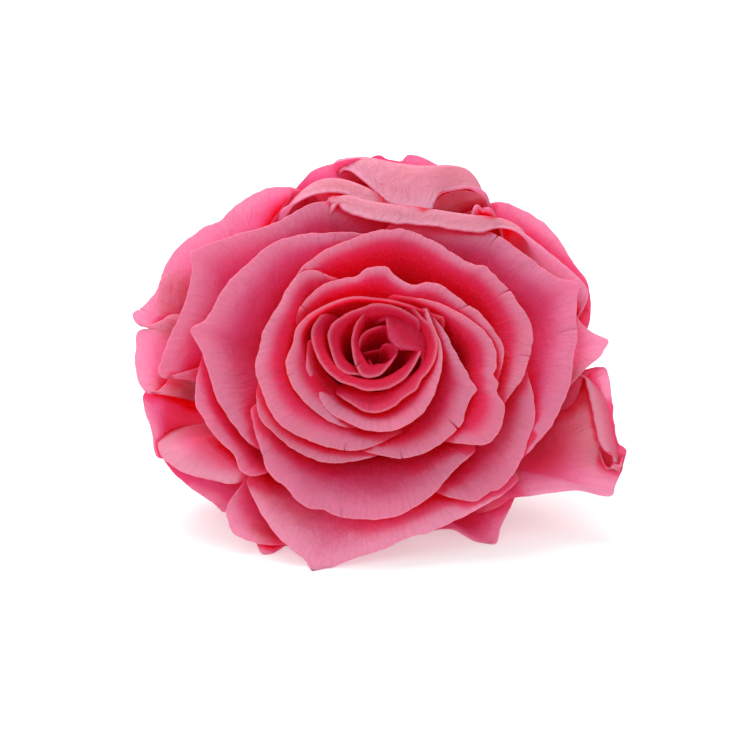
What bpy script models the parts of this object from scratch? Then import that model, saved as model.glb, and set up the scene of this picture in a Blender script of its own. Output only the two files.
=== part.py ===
"""A preserved rose head, cut from its stem, lying on its front petals.

Every petal is one entry in PETALS. Its rim is a smooth line through a few points, given in millimetres
as an onlooker sees them: how far across and how far up from the eye of the bloom. The heights say how
far each part of the rim stands above the eye along the bloom's own axis. The onlooker looks from
VIEW_DISTANCE away and VIEW_TILT below that axis, so a rim and its heights fix one line in space. The
petal is swept from a narrow claw on the receptacle, through a belly, up to that rim.
"""

import math
from typing import NamedTuple

import bmesh
import bpy
from mathutils import Matrix, Vector

MM = 0.001

# How the head lies: the tilt of its axis from upright, the eye's height above the ground, and the
# place of the eye that puts the middle of the whole head over the origin.
HEAD_TILT = math.radians(42)
EYE_HEIGHT = 27.4
EYE_PLACE = (0.16, -10.43)

# Where the onlooker stands, seen from the eye of the bloom.
VIEW_TILT = math.radians(30)
VIEW_DISTANCE = 350.0

# Petal blades: the width of a column of faces along the rim, and the steps that the rim's length is
# measured in between two of its points.
THICKNESS = 0.6
COLUMN_WIDTH = 4.8
FEWEST_COLUMNS = 4
RIM_STEPS = 12

# The lip takes up the shares of the way up from here on, and the side takes up those below.
LIP_START = 0.5

# A petal's shoulders are round: its first and last columns stop at this share of the way up.
SHOULDER = 0.86

# Receptacle: (radius, height) down its side, from the tip among the petals to the seat on the hip
RECEPTACLE = ((1.6, -10.5), (4.0, -13.0), (5.5, -17.0), (7.0, -21.0), (7.4, -25.0), (6.2, -28.2),
              (4.8, -29.2))
RECEPTACLE_SIDES = 14

# Petals grow from the receptacle in a spiral, each a little lower and further out than the one before.
FIRST_ROOT = (1.0, -13.0)
LAST_ROOT = (4.8, -28.0)

# Calyx: the hip is (radius, height) down its side, from its seat under the receptacle to the stub.
# A sepal starts inside the hip, is hollow along its middle and rises to a narrow end.
SEAT_GAP = 0.4
HIP = ((4.6, RECEPTACLE[-1][1] - SEAT_GAP), (5.1, -30.8), (4.9, -32.4), (3.6, -34.2), (2.7, -35.4),
       (2.6, -42.4))
HIP_SIDES = 20
SEPALS = 5
FIRST_SEPAL = math.radians(90)
SEPAL_ROOT = (3.6, -30.2)
SEPAL_LENGTH = 8.0
SEPAL_RISE = 1.0
SEPAL_WIDTH = 4.0
SEPAL_END = 0.6
SEPAL_HOLLOW = 0.25
SEPAL_THICKNESS = 0.6
SEPAL_ROWS = 5

# Finishes: colour and roughness
PETAL_FINISH = ((0.72, 0.13, 0.25, 1), 0.7)
CALYX_FINISH = ((0.16, 0.22, 0.07, 1), 0.8)
SHARP_ANGLE = math.radians(40)


class Layer(NamedTuple):
    """How narrow a petal's claw is, how its side bulges on the way up, how gently it bends into the lip,
    and how it is split into faces: at most so wide in turn round the bloom, with the edges of its rows
    at these shares of the way up."""

    claw: float
    belly: float
    belly_rise: float
    bend: float
    column_turn: float
    rows: tuple


LAYERS = {
    "eye": Layer(0.9, 0.5, 2, 1.2, math.radians(60), (0, 0.5, 1)),
    "ring": Layer(0.85, 0.55, 1, 2.0, math.radians(24), (0, 0.3, 0.5, 1)),
    "heart": Layer(0.85, 0.55, 1, 2.0, math.radians(24), (0, 0.3, 0.5, 1)),
    "cup": Layer(0.6, 0.7, 0, 3.0, math.radians(20), (0, 0.3, 0.5, 1)),
    "wide": Layer(0.45, 0.66, 1, 4.0, math.radians(20), (0, 0.3, 0.5, 1)),
    "outer": Layer(0.35, 0.58, 3.5, 4.0, math.radians(20), (0, 0.2, 0.38, 0.5, 1)),
    "rolled": Layer(0.35, 0.58, 3.5, 7.0, math.radians(20), (0, 0.25, 0.36, 0.45, 1)),
    "folded": Layer(0.35, 0.58, 3.5, 16.0, math.radians(20), (0, 0.25, 0.36, 0.45, 1)),
}


class Petal(NamedTuple):
    """rim: (across, up) seen by the onlooker. heights: along the axis, spread evenly over the rim.
    lean: how the lip stands, 90 upright, 0 flat outward, below 0 rolled back, above 90 folded in.
    lip: how long the lip is before the petal's side bends down. Leans and lips too are spread evenly
    over the rim. centre: the place on the bloom's own axes that the petal curves round, for one that
    doesn't wrap the eye."""

    name: str
    layer: str
    rim: tuple
    heights: tuple
    lean: tuple
    lip: tuple
    centre: tuple = (0.0, 0.0)


PETALS = (
    Petal("eye_cup", "eye",
          ((-1.4, 4.8), (-2.5, 3.4), (-3.1, 2.0), (-3.4, 0.4), (-3.2, -1.0), (-2.9, -2.4), (-2.1, -4.1),
           (-1.0, -4.5), (0.6, -4.1), (1.8, -2.8), (2.9, -1.3)),
          (-0.5, -0.3, -0.8, -1.4, -1.5, -1.5), (85, 75, 30, 30, 75), (1.5, 1.5, 1.2, 1.2, 1.2)),
    Petal("eye_arch", "eye",
          ((-2.5, -0.6), (-2.1, 0.9), (-1.3, 1.8), (0.0, 2.4), (1.5, 2.7), (2.8, 2.3)),
          (-2.0, -1.2, -1.2), (95, 110, 115, 100), (1.2, 1.5, 1.2)),
    Petal("eye_hood", "eye",
          ((1.4, 3.5), (1.6, 2.4), (1.9, 0.9), (3.0, -0.5), (4.7, -0.6), (6.3, -1.0), (6.4, -2.5),
           (5.8, -4.0), (5.2, -4.9)),
          (-0.4, -0.8, -1.2, -1.4, -2.2), (160, 168, 165, 140, 85), (4.0, 4.5, 4.0, 2.0), (-2.0, -4.0)),
    Petal("petaloid_low", "eye",
          ((-2.0, -1.2), (-0.7, -0.9), (0.6, -0.6), (1.1, 0.2)),
          (-4.0, -3.6, -3.8), (100, 100), (1.2, 1.2), (-0.6, -3.0)),
    Petal("petaloid_side", "eye",
          ((1.1, 0.1), (1.8, 0.2), (2.8, -0.4), (3.0, -0.9), (2.6, -1.8), (1.6, -2.4)),
          (-2.2, -2.0, -2.6), (80, 80), (1.2, 1.2), (0.6, -2.4)),
    Petal("petaloid_bottom", "eye",
          ((-1.0, -2.0), (-0.5, -2.9), (0.4, -2.7), (1.3, -3.1)),
          (-3.0, -2.8, -2.8), (90, 90), (1.2, 1.2), (0.0, -1.0)),
    Petal("ring_one", "ring",
          ((5.9, 3.7), (3.6, 5.0), (1.5, 5.7), (-0.7, 5.7), (-2.8, 4.9), (-4.9, 3.9), (-6.2, 2.7),
           (-6.7, 1.3), (-6.3, -0.6), (-5.7, -2.7), (-5.0, -3.6), (-3.8, -4.1), (-2.4, -4.2)),
          (-0.6, 0.2, 0.1, -0.7, -1.6), (80, 75, 70, 45, 25), (1.5, 1.5, 1.3, 1.2)),
    Petal("ring_two", "ring",
          ((-7.8, 4.1), (-8.8, 2.7), (-9.1, 1.1), (-8.5, -0.8), (-7.4, -3.1), (-5.3, -5.0), (-3.5, -5.6),
           (-1.5, -6.3), (0.6, -6.3), (2.2, -5.9), (3.9, -4.8), (5.0, -3.5), (6.3, -1.2)),
          (-0.5, -0.2, -1.0, -1.4, -1.0), (60, 40, 30, 25, 30, 60), (1.5, 1.3, 1.5, 1.3)),
    Petal("ring_three", "heart",
          ((5.2, 5.3), (6.4, 4.0), (7.8, 2.7), (8.5, 0.7), (8.5, -1.0), (7.8, -3.1), (6.4, -4.9),
           (5.7, -6.2), (3.9, -7.4), (2.2, -8.8), (0.0, -9.5), (-1.8, -9.2), (-3.2, -8.3), (-4.9, -7.3)),
          (-0.2, 0.0, -0.8, -1.6, -2.0), (80, 65, 35, 22, 20), (1.3, 1.8, 3.2, 3.4)),
    Petal("heart_lip", "heart",
          ((7.1, 4.9), (8.4, 1.6), (9.2, -0.8), (9.0, -3.8), (8.4, -6.0), (7.7, -7.7), (6.4, -9.7),
           (4.3, -11.2), (2.2, -12.0), (0.8, -12.0), (-1.4, -11.8), (-4.2, -10.6), (-6.3, -9.4),
           (-8.4, -7.0), (-9.4, -5.2), (-9.7, -2.6), (-9.6, 0.2)),
          (0.0, -0.2, -1.2, -2.0, -1.8, -0.8), (70, 45, 22, 20, 22, 35, 60),
          (1.5, 2.0, 4.5, 5.5, 5.0, 2.0)),
    Petal("heart_side", "heart",
          ((11.8, 3.1), (9.4, 3.9), (7.3, 4.6), (4.3, 5.7), (0.8, 6.4), (-3.4, 6.6), (-5.9, 6.0),
           (-9.0, 4.5), (-11.1, 2.4), (-11.6, 0.1), (-12.5, -2.4), (-12.0, -4.8), (-10.8, -6.9),
           (-8.4, -9.2), (-6.7, -10.4), (-4.9, -11.2)),
          (-0.4, 0.4, 0.6, 0.2, -0.8, -2.4), (100, 115, 115, 95, 35, 20, 20),
          (1.5, 1.3, 1.4, 2.0, 3.2, 3.5, 3.5)),
    Petal("point_right", "cup",
          ((7.0, 5.2), (9.5, 1.8), (10.9, -0.8), (12.6, -3.8), (13.5, -5.9), (13.2, -7.3), (12.5, -8.8),
           (11.8, -11.2), (9.7, -13.2), (7.4, -14.7), (5.5, -15.4), (3.4, -15.8), (1.1, -15.5),
           (-1.2, -14.9)),
          (-0.5, -0.8, -1.6, -2.8, -3.5, -4.2), (65, 35, 22, 20, 20, 22), (1.5, 3.0, 5.0, 6.0, 6.0, 5.0)),
    Petal("wave_right", "cup",
          ((2.4, 7.2), (8.5, 6.0), (12.6, 3.8), (15.3, 1.8), (16.6, -0.7), (16.8, -2.9), (16.3, -4.2),
           (17.1, -5.4), (16.8, -6.6), (17.9, -8.5), (17.8, -10.4), (16.7, -12.7), (15.4, -13.8),
           (12.6, -13.7), (9.6, -13.4)),
          (0.2, 0.1, -0.6, -1.4, -2.6, -4.6), (100, 80, 40, 25, 15, 10, 15),
          (1.3, 1.5, 2.5, 3.0, 4.0, 5.0, 5.0)),
    Petal("wave_top", "cup",
          ((-11.1, 4.2), (-9.9, 6.2), (-8.0, 8.0), (-5.9, 9.0), (-2.8, 9.5), (-1.4, 10.6), (0.0, 10.9),
           (1.5, 10.8), (2.4, 9.8), (3.9, 8.8), (5.6, 8.3), (7.4, 8.7), (9.5, 8.1), (12.6, 5.7),
           (14.7, 4.2), (16.7, 1.8), (17.8, 0.0), (17.9, -2.0), (17.3, -4.6)),
          (-1.0, 0.2, 0.4, 0.0, -0.8, -2.2), (60, 50, 35, 30, 40, 60), (1.5, 1.6, 2.0, 2.4, 2.2, 2.0)),
    Petal("cup_left", "cup",
          ((-6.2, 9.4), (-8.4, 10.3), (-10.5, 10.0), (-12.3, 8.0), (-13.3, 6.0), (-14.7, 3.8), (-15.7, 2.0),
           (-16.2, -0.6), (-16.8, -2.4), (-16.6, -4.5), (-15.7, -7.0), (-14.3, -10.0), (-12.2, -12.0),
           (-8.4, -13.7), (-4.5, -14.7), (-2.2, -14.6), (0.6, -13.6), (3.0, -12.4)),
          (-1.2, -0.6, -1.0, -1.8, -3.0, -4.0), (50, 30, 15, 10, 5, 10, 30),
          (2.0, 2.5, 3.5, 4.0, 5.0, 5.0, 4.0)),
    Petal("cup_top", "cup",
          ((-13.0, 6.8), (-11.3, 9.4), (-10.1, 10.9), (-8.4, 12.3), (-6.2, 13.7), (-3.9, 14.5),
           (-0.4, 15.8), (1.5, 16.1), (4.2, 16.1), (6.9, 15.0), (9.0, 13.9), (12.5, 11.7), (13.9, 11.1),
           (15.4, 10.9), (16.5, 9.4), (18.5, 7.8), (20.0, 5.6), (21.3, 3.5), (21.8, 1.2), (21.2, -2.2),
           (20.7, -4.1), (19.5, -6.0), (17.8, -8.4)),
          (-1.6, -0.6, -0.4, -0.5, -1.2, -2.2, -3.6), (60, 40, 25, 20, 25, 20, 30),
          (1.5, 2.5, 3.0, 3.0, 3.5, 4.5, 4.5)),
    Petal("cup_under", "cup",
          ((-16.2, -4.5), (-16.6, -7.2), (-16.1, -10.2), (-14.3, -12.2), (-11.8, -14.4), (-8.4, -16.0),
           (-5.9, -16.4), (-2.8, -16.1), (-0.6, -15.5), (2.4, -14.0)),
          (-2.6, -3.4, -4.4, -4.6, -4.6), (40, 20, 12, 15, 30), (4.0, 4.5, 5.0, 4.5)),
    Petal("corner_left", "wide",
          ((6.2, 17.2), (3.0, 18.0), (0.0, 18.8), (-3.2, 19.4), (-7.6, 20.0), (-10.6, 19.0), (-13.3, 17.4),
           (-16.5, 16.2), (-19.0, 15.5), (-21.4, 14.7), (-24.0, 13.7), (-25.4, 12.4), (-25.6, 10.8),
           (-26.2, 7.6), (-27.4, 3.9), (-28.7, 1.3), (-30.0, -2.0), (-30.4, -3.8), (-29.4, -4.5),
           (-27.4, -4.0), (-24.8, -3.2)),
          (-3.2, -3.4, -4.0, -4.8, -5.4, -7.2, -8.5), (40, 38, 30, 28, 28, 35),
          (4.0, 5.0, 6.0, 9.0, 9.5, 8.0)),
    Petal("tip_left", "wide",
          ((-1.0, 15.4), (-3.4, 15.6), (-6.9, 15.6), (-10.4, 15.4), (-13.2, 14.7), (-15.4, 13.6),
           (-17.2, 12.0), (-21.0, 8.3), (-23.5, 3.8), (-25.2, 2.0), (-24.2, -1.3), (-23.2, -4.3),
           (-22.1, -7.7), (-19.6, -11.3), (-17.8, -13.7), (-15.6, -15.0)),
          (-2.6, -2.2, -2.6, -3.4, -5.0, -7.0), (40, 30, 28, 25, 20, 25), (3.5, 4.5, 7.0, 8.5, 8.0, 7.0)),
    Petal("under_left", "wide",
          ((-23.6, 0.0), (-24.4, -2.5), (-25.0, -5.2), (-25.1, -8.4), (-23.8, -10.9), (-22.0, -13.4),
           (-20.0, -15.3), (-19.0, -17.6), (-17.2, -18.4), (-14.6, -17.6)),
          (-5.0, -5.6, -6.6, -8.0, -8.0), (45, 38, 35, 35), (6.0, 7.0, 7.0)),
    Petal("corner_right", "wide",
          ((2.7, 17.2), (7.6, 16.8), (13.3, 16.1), (16.8, 15.4), (20.3, 12.9), (24.9, 9.6), (27.6, 8.2),
           (28.1, 6.4), (28.0, 3.4), (28.1, 1.2), (27.6, -1.5), (27.3, -4.9), (25.6, -9.1), (23.8, -12.3),
           (20.6, -15.8)),
          (-2.4, -2.4, -2.6, -3.4, -5.0, -7.0), (45, 35, 28, 25, 20, 20), (4.5, 5.5, 7.5, 8.0, 8.5)),
    Petal("bottom_lip", "wide",
          ((-17.4, -9.2), (-17.0, -11.4), (-16.4, -13.5), (-15.7, -15.4), (-15.3, -17.3), (-14.2, -18.7),
           (-12.6, -20.0), (-11.2, -21.6), (-9.7, -22.7), (-7.3, -23.1), (-6.0, -23.8), (-3.4, -24.4),
           (0.6, -24.5), (2.9, -23.9), (5.6, -22.5), (8.3, -20.6), (10.4, -18.0), (13.6, -15.0)),
          (-4.4, -5.4, -6.4, -6.6, -6.2, -5.4), (30, 18, 12, 14, 25), (7.0, 9.5, 10.5, 9.5, 7.5)),
    Petal("bottom_right", "wide",
          ((7.0, -20.2), (10.5, -21.4), (13.6, -21.9), (14.9, -21.2), (16.1, -20.3), (17.1, -20.2),
           (19.2, -18.1), (20.6, -15.3), (21.5, -12.6), (22.2, -9.9), (22.0, -7.4), (21.2, -3.9)),
          (-8.0, -7.8, -7.0, -5.6, -4.4), (20, 14, 15, 25), (8.0, 9.0, 8.5)),
    Petal("roll_top", "rolled",
          ((-5.3, 19.9), (-4.6, 18.9), (-2.9, 18.1), (-0.6, 17.6), (2.7, 17.1), (5.9, 16.8), (8.7, 16.5),
           (12.3, 16.0), (14.8, 15.8), (17.0, 16.5), (19.0, 16.2), (21.0, 15.3), (23.4, 13.6), (26.2, 11.2),
           (28.6, 9.0), (29.6, 7.4)),
          (-2.6, -2.0, -1.7, -1.6, -1.7, -2.4, -3.4, -4.8, -6.4),
          (185, 190, 190, 190, 190, 150, 90, 75, 70), (1.5, 1.5, 1.5, 2.5, 2.5)),
    Petal("roll_left", "rolled",
          ((-13.0, 19.0), (-11.2, 20.0), (-9.2, 21.0), (-7.1, 21.4), (-5.0, 21.3), (-2.8, 20.4),
           (-0.4, 19.2), (1.4, 18.4)),
          (-4.6, -4.0, -3.4, -3.2), (120, 185, 190), (1.5, 1.5)),
    Petal("flap_back", "folded",
          ((-4.2, 24.4), (-2.2, 23.4), (0.3, 21.4), (1.8, 20.0), (4.8, 19.4), (7.6, 18.9), (8.2, 20.0),
           (8.7, 20.9), (11.3, 21.6), (13.7, 21.8), (15.2, 21.2), (15.8, 20.0)),
          (-6.0, -4.2, -2.4, -2.2, -3.6, -5.2), (150, 180, 196, 165, 95), (2.0, 2.5)),
    Petal("front_tip", "outer",
          ((-17.0, -17.2), (-18.0, -18.9), (-17.2, -21.4), (-15.7, -24.2), (-13.7, -26.7), (-11.5, -28.6),
           (-9.6, -30.2), (-8.8, -32.1), (-6.9, -31.5), (-3.4, -30.0), (0.6, -28.7), (4.1, -27.2),
           (7.6, -26.2), (10.5, -24.8), (13.6, -23.4), (16.8, -21.6), (19.4, -19.4)),
          (-8.0, -9.0, -10.0, -9.6, -9.0, -8.6), (35, 15, 8, 12, 25), (8.0, 10.0, 11.0, 10.0, 8.0)),
    Petal("shoulder_left", "outer",
          ((-9.0, 20.8), (-11.2, 21.9), (-14.4, 22.1), (-16.5, 21.4), (-18.5, 20.2), (-20.2, 19.0),
           (-21.8, 17.3), (-23.7, 16.6), (-25.6, 15.3), (-27.9, 13.4), (-29.4, 11.3), (-30.0, 9.6),
           (-30.6, 7.2)),
          (-7.0, -7.4, -8.0, -9.0, -9.6), (55, 42, 40, 45), (6.0, 7.0, 7.0)),
    Petal("shoulder_right", "outer",
          ((14.6, 19.0), (16.2, 19.8), (17.8, 20.0), (20.3, 19.0), (22.7, 17.6), (24.8, 15.6), (26.4, 13.3),
           (27.6, 11.4), (29.3, 9.2), (29.9, 7.2)),
          (-6.6, -6.8, -7.4, -8.6), (60, 48, 45, 50), (5.0, 6.0, 6.0)),
    Petal("hook_right", "outer",
          ((27.4, 5.4), (28.6, 3.2), (29.9, 1.9), (32.0, 0.7), (31.9, -0.3), (31.2, -1.6), (29.6, -2.9),
           (27.9, -4.6), (26.6, -6.0)),
          (-8.0, -7.6, -8.0, -8.4), (50, 25, 25, 40), (6.0, 6.0)),
    Petal("roll_right", "outer",
          ((28.6, -4.6), (30.4, -3.4), (32.0, -3.2), (32.6, -6.4), (33.2, -10.4), (33.7, -13.4),
           (34.4, -14.4), (34.4, -16.2), (33.4, -18.8), (32.3, -20.6), (28.4, -19.9), (24.9, -20.2),
           (21.4, -20.7), (18.4, -21.0)),
          (-9.0, -9.4, -10.6, -12.4, -12.6, -12.0), (45, 28, 22, 22, 30), (7.0, 9.0, 10.0, 10.0)),
    Petal("slit_upper", "outer",
          ((-30.0, 9.2), (-30.9, 7.2), (-32.6, 5.4), (-33.8, 4.0), (-33.2, 2.8), (-31.5, 2.8), (-29.6, 3.6)),
          (-9.0, -9.6, -9.4), (50, 35, 40), (6.0, 6.0)),
    Petal("slit_lower", "outer",
          ((-29.4, 2.6), (-31.6, 2.2), (-33.3, 1.8), (-33.6, -0.2), (-33.6, -3.1), (-33.2, -5.2),
           (-32.3, -6.6), (-30.8, -6.6), (-29.4, -5.6)),
          (-10.0, -10.0, -10.2, -11.0), (40, 35, 35, 45), (7.0, 7.0)),
    Petal("side_left", "outer",
          ((-31.0, -5.4), (-32.4, -7.0), (-32.3, -9.0), (-31.5, -11.8), (-31.1, -13.9), (-30.6, -15.6),
           (-28.8, -15.6), (-26.6, -14.4)),
          (-11.4, -11.6, -12.4, -13.0), (60, 60, 65), (3.5, 3.5)),
    Petal("fold_left", "outer",
          ((-30.6, -14.2), (-29.6, -16.0), (-26.6, -17.9), (-23.1, -18.8), (-20.6, -19.4), (-18.6, -18.9),
           (-17.0, -17.6)),
          (-12.2, -12.4, -12.0, -10.6), (-5, -40, -40, 0), (5.0, 5.0)),
    Petal("low_left", "outer",
          ((-18.0, -18.6), (-19.6, -20.7), (-20.7, -22.6), (-20.7, -24.8), (-19.8, -26.6), (-17.8, -27.4),
           (-15.0, -27.9), (-12.4, -28.0)),
          (-10.6, -12.0, -12.6, -12.4), (55, 32, 30, 45), (5.0, 5.0)),
    Petal("back_left", "outer",
          ((-13.6, 18.4), (-11.9, 20.9), (-10.2, 23.2), (-8.7, 24.5), (-6.2, 25.2), (-3.8, 25.8),
           (-1.8, 25.9), (2.0, 25.0)),
          (-8.0, -7.0, -6.6, -7.0), (85, 80, 85), (4.0, 4.0)),
    Petal("back_top", "outer",
          ((-3.4, 25.0), (-2.0, 25.6), (0.3, 26.5), (1.8, 25.9), (3.6, 25.7), (4.5, 26.6), (7.1, 25.9),
           (9.7, 24.6), (13.0, 22.8)),
          (-9.0, -8.6, -8.6, -9.6), (80, 70, 80), (4.0, 4.0)),
    Petal("side_right", "outer",
          ((27.0, 9.0), (29.0, 7.6), (29.6, 5.8), (29.9, 3.6), (29.5, 1.4)),
          (-9.6, -10.0, -10.0), (60, 45, 55), (5.0, 5.0)),
    Petal("under_fold", "outer",
          ((-30.4, -14.6), (-28.9, -17.2), (-26.0, -20.0), (-23.4, -21.6), (-20.8, -23.2), (-19.2, -21.4),
           (-17.4, -19.6)),
          (-15.0, -15.6, -15.4, -13.0), (50, 35, 45), (5.0, 5.0)),
    Petal("low_tab", "outer",
          ((-17.4, -26.6), (-16.5, -28.4), (-15.9, -29.6), (-14.4, -29.3), (-12.8, -28.2)),
          (-13.0, -13.4, -13.4), (50, 30, 50), (3.0, 3.0)),
    Petal("low_right", "outer",
          ((20.2, -19.6), (18.8, -22.8), (17.6, -25.4), (16.8, -28.2), (15.0, -28.1), (12.6, -26.6),
           (10.4, -25.6), (7.0, -26.2)),
          (-14.0, -15.6, -16.2, -14.0), (55, 38, 45), (5.0, 5.0)),
    Petal("guard_right", "outer",
          ((22.6, -8.0), (26.4, -2.0), (28.0, 2.6), (26.8, 7.6), (23.8, 12.0), (18.8, 15.4), (13.0, 17.0)),
          (-14.6, -14.0, -14.0, -13.0), (70, 50, 70), (5.0, 5.0)),
    Petal("guard_top", "outer",
          ((15.0, 16.0), (11.0, 19.6), (5.0, 21.6), (-1.0, 22.0), (-7.0, 20.6), (-12.0, 17.4)),
          (-14.0, -13.6, -14.0), (75, 60, 75), (5.0, 5.0)),
    Petal("guard_left", "outer",
          ((-12.0, 17.0), (-18.0, 15.0), (-23.4, 11.0), (-26.8, 5.4), (-27.6, -0.6), (-25.4, -6.6)),
          (-14.0, -14.4, -15.0), (70, 50, 70), (5.0, 5.0)),
    Petal("guard_front", "outer",
          ((-14.0, -18.6), (-8.0, -23.0), (-1.0, -24.6), (6.0, -23.6), (12.0, -20.4), (16.0, -16.0)),
          (-13.0, -12.4, -13.0), (70, 50, 70), (5.0, 5.0)),
)


def along(values, share):
    """The place at a share from 0 to 1 of a smooth line through evenly spread values."""
    last = len(values) - 1
    place = min(max(share, 0.0), 1.0) * last
    i = min(int(place), last - 1)
    t = place - i
    a, b = values[i], values[i + 1]
    before = values[i - 1] if i else a + (a - b)
    after = values[i + 2] if i + 2 <= last else b + (b - a)
    slope_a, slope_b = (b - before) * 0.5, (after - a) * 0.5
    rise = b - a
    return a + (slope_a + (rise * 3 - slope_a * 2 - slope_b + (slope_a + slope_b - rise * 2) * t) * t) * t


def placed(across, up, height):
    """The point, on the bloom's own axes, that the onlooker sees there and that stands at this height."""
    sight = Vector((0, -math.sin(VIEW_TILT), math.cos(VIEW_TILT)))
    picture_up = Vector((0, math.cos(VIEW_TILT), math.sin(VIEW_TILT)))
    onlooker = sight * VIEW_DISTANCE
    aim = Vector((across, 0, 0)) + picture_up * up
    share = (height - onlooker.z) / (aim.z - onlooker.z)
    return onlooker.lerp(aim, share)


def rim_points(petal, columns):
    """Points evenly spaced along the rim, each with the share of the rim's length before it."""
    seen = [Vector(point) for point in petal.rim]
    fine = RIM_STEPS * (len(seen) - 1)
    line = [along(seen, i / fine) for i in range(fine + 1)]
    lengths = [0.0]
    for a, b in zip(line, line[1:]):
        lengths.append(lengths[-1] + (b - a).length)
    points = []
    for column in range(columns + 1):
        share = column / columns
        wanted = share * lengths[-1]
        i = next(k for k in range(1, len(lengths)) if lengths[k] >= wanted - 1e-9)
        t = (wanted - lengths[i - 1]) / (lengths[i] - lengths[i - 1])
        flat = line[i - 1].lerp(line[i], t)
        points.append((share, placed(flat.x, flat.y, along(petal.heights, share))))
    return points


def column_count(petal):
    """Enough columns for the rim's length and for its turn round the bloom."""
    seen = [Vector(point) for point in petal.rim]
    length = sum((b - a).length for a, b in zip(seen, seen[1:]))
    angles = turned_angles([p for _, p in rim_points(petal, len(seen))], Vector((*petal.centre, 0)))
    turn = max(angles) - min(angles)
    return max(FEWEST_COLUMNS, round(length / COLUMN_WIDTH), round(turn / LAYERS[petal.layer].column_turn))


def outward(angle):
    return Vector((math.cos(angle), math.sin(angle), 0))


def petal_grid(petal, order, columns):
    """Rows of points from the claw on the receptacle up to the rim. order: 0 for the first petal of the
    spiral, 1 for the last."""
    layer = LAYERS[petal.layer]
    root_radius, root_height = (a + (b - a) * order for a, b in zip(FIRST_ROOT, LAST_ROOT))
    centre = Vector((*petal.centre, 0))
    points = rim_points(petal, columns)
    angles = turned_angles([p for _, p in points], centre)
    middle = (min(angles) + max(angles)) / 2
    curves = []
    for (share, rim), angle in zip(points, angles):
        reach = math.hypot(rim.x - centre.x, rim.y - centre.y)
        claw = middle + (angle - middle) * layer.claw
        side = middle + (angle - middle) * (1 + layer.claw) / 2
        lean = math.radians(along(petal.lean, share))
        root = centre + outward(claw) * root_radius + Vector((0, 0, root_height))
        belly = centre + outward(side) * (root_radius + (reach - root_radius) * layer.belly)
        belly.z = root_height + layer.belly_rise
        lip = outward(angle) * math.cos(lean) + Vector((0, 0, math.sin(lean)))
        foot = rim - lip * along(petal.lip, share)
        curves.append((root, belly, foot - lip * layer.bend, foot, rim))
    grid = []
    for rise in layer.rows:
        line = [curve_point(curve, rise) for curve in curves]
        line[0] = curve_point(curves[0], rise * SHOULDER)
        line[-1] = curve_point(curves[-1], rise * SHOULDER)
        grid.append(line)
    return grid


def curve_point(curve, rise):
    """The place at a share of the way from the claw, up the bent side and the straight lip, to the rim."""
    *side, foot, rim = curve
    if rise > LIP_START:
        return foot.lerp(rim, (rise - LIP_START) / (1 - LIP_START))
    t = rise / LIP_START
    weights = ((1 - t) ** 3, 3 * t * (1 - t) ** 2, 3 * t * t * (1 - t), t ** 3)
    return sum((p * w for p, w in zip((*side, foot), weights)), Vector())


def turned_angles(points, centre):
    """The angle of each point round the centre, followed on past half a turn."""
    angles = []
    for point in points:
        angle = math.atan2(point.y - centre.y, point.x - centre.x)
        if angles:
            angle += math.tau * round((angles[-1] - angle) / math.tau)
        angles.append(angle)
    return angles


def grid_normals(grid):
    normals = []
    for r, row in enumerate(grid):
        line = []
        for c in range(len(row)):
            across = row[min(c + 1, len(row) - 1)] - row[max(c - 1, 0)]
            up = grid[min(r + 1, len(grid) - 1)][c] - grid[max(r - 1, 0)][c]
            line.append(across.cross(up).normalized())
        normals.append(line)
    return normals


def slab_mesh(name, grid, thickness):
    """A closed blade of this thickness round a grid of points, split alike on both faces."""
    bm = bmesh.new()
    normals = grid_normals(grid)
    sides = []
    for offset in (thickness / 2, -thickness / 2):
        sides.append([[bm.verts.new((p + n * offset) * MM) for p, n in zip(row, line)]
                      for row, line in zip(grid, normals)])
    last_row, last_column = len(grid) - 1, len(grid[0]) - 1
    for r in range(last_row):
        for c in range(last_column):
            for side in sides:
                a, b = side[r][c], side[r][c + 1]
                d, e = side[r + 1][c], side[r + 1][c + 1]
                for corners in ((a, b, e), (a, e, d)):
                    bm.faces.new(corners if side is sides[0] else corners[::-1])
    edge = [(0, c) for c in range(last_column)] + [(r, last_column) for r in range(last_row)]
    edge += [(last_row, c) for c in range(last_column, 0, -1)] + [(r, 0) for r in range(last_row, 0, -1)]
    for (r1, c1), (r2, c2) in zip(edge, edge[1:] + edge[:1]):
        top, under = sides
        bm.faces.new((top[r2][c2], top[r1][c1], under[r1][c1]))
        bm.faces.new((top[r2][c2], under[r1][c1], under[r2][c2]))
    if bm.calc_volume(signed=True) < 0:
        bmesh.ops.reverse_faces(bm, faces=bm.faces)
    mesh = bpy.data.meshes.new(name)
    bm.to_mesh(mesh)
    bm.free()
    return mesh


def turned_mesh(name, profile, sides):
    """A closed turned solid from (radius, height) points down its side, with flat ends."""
    bm = bmesh.new()
    rings = []
    for radius, height in profile:
        rings.append([bm.verts.new((outward(math.tau * k / sides) * radius + Vector((0, 0, height))) * MM)
                      for k in range(sides)])
    for upper, lower in zip(rings, rings[1:]):
        for k in range(sides):
            following = (k + 1) % sides
            bm.faces.new((upper[k], lower[k], lower[following], upper[following]))
    bm.faces.new(rings[0])
    bm.faces.new(rings[-1][::-1])
    if bm.calc_volume(signed=True) < 0:
        bmesh.ops.reverse_faces(bm, faces=bm.faces)
    mesh = bpy.data.meshes.new(name)
    bm.to_mesh(mesh)
    bm.free()
    return mesh


def add_object(name, mesh, collection):
    piece = bpy.data.objects.new(name, mesh)
    collection.objects.link(piece)
    return piece


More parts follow.
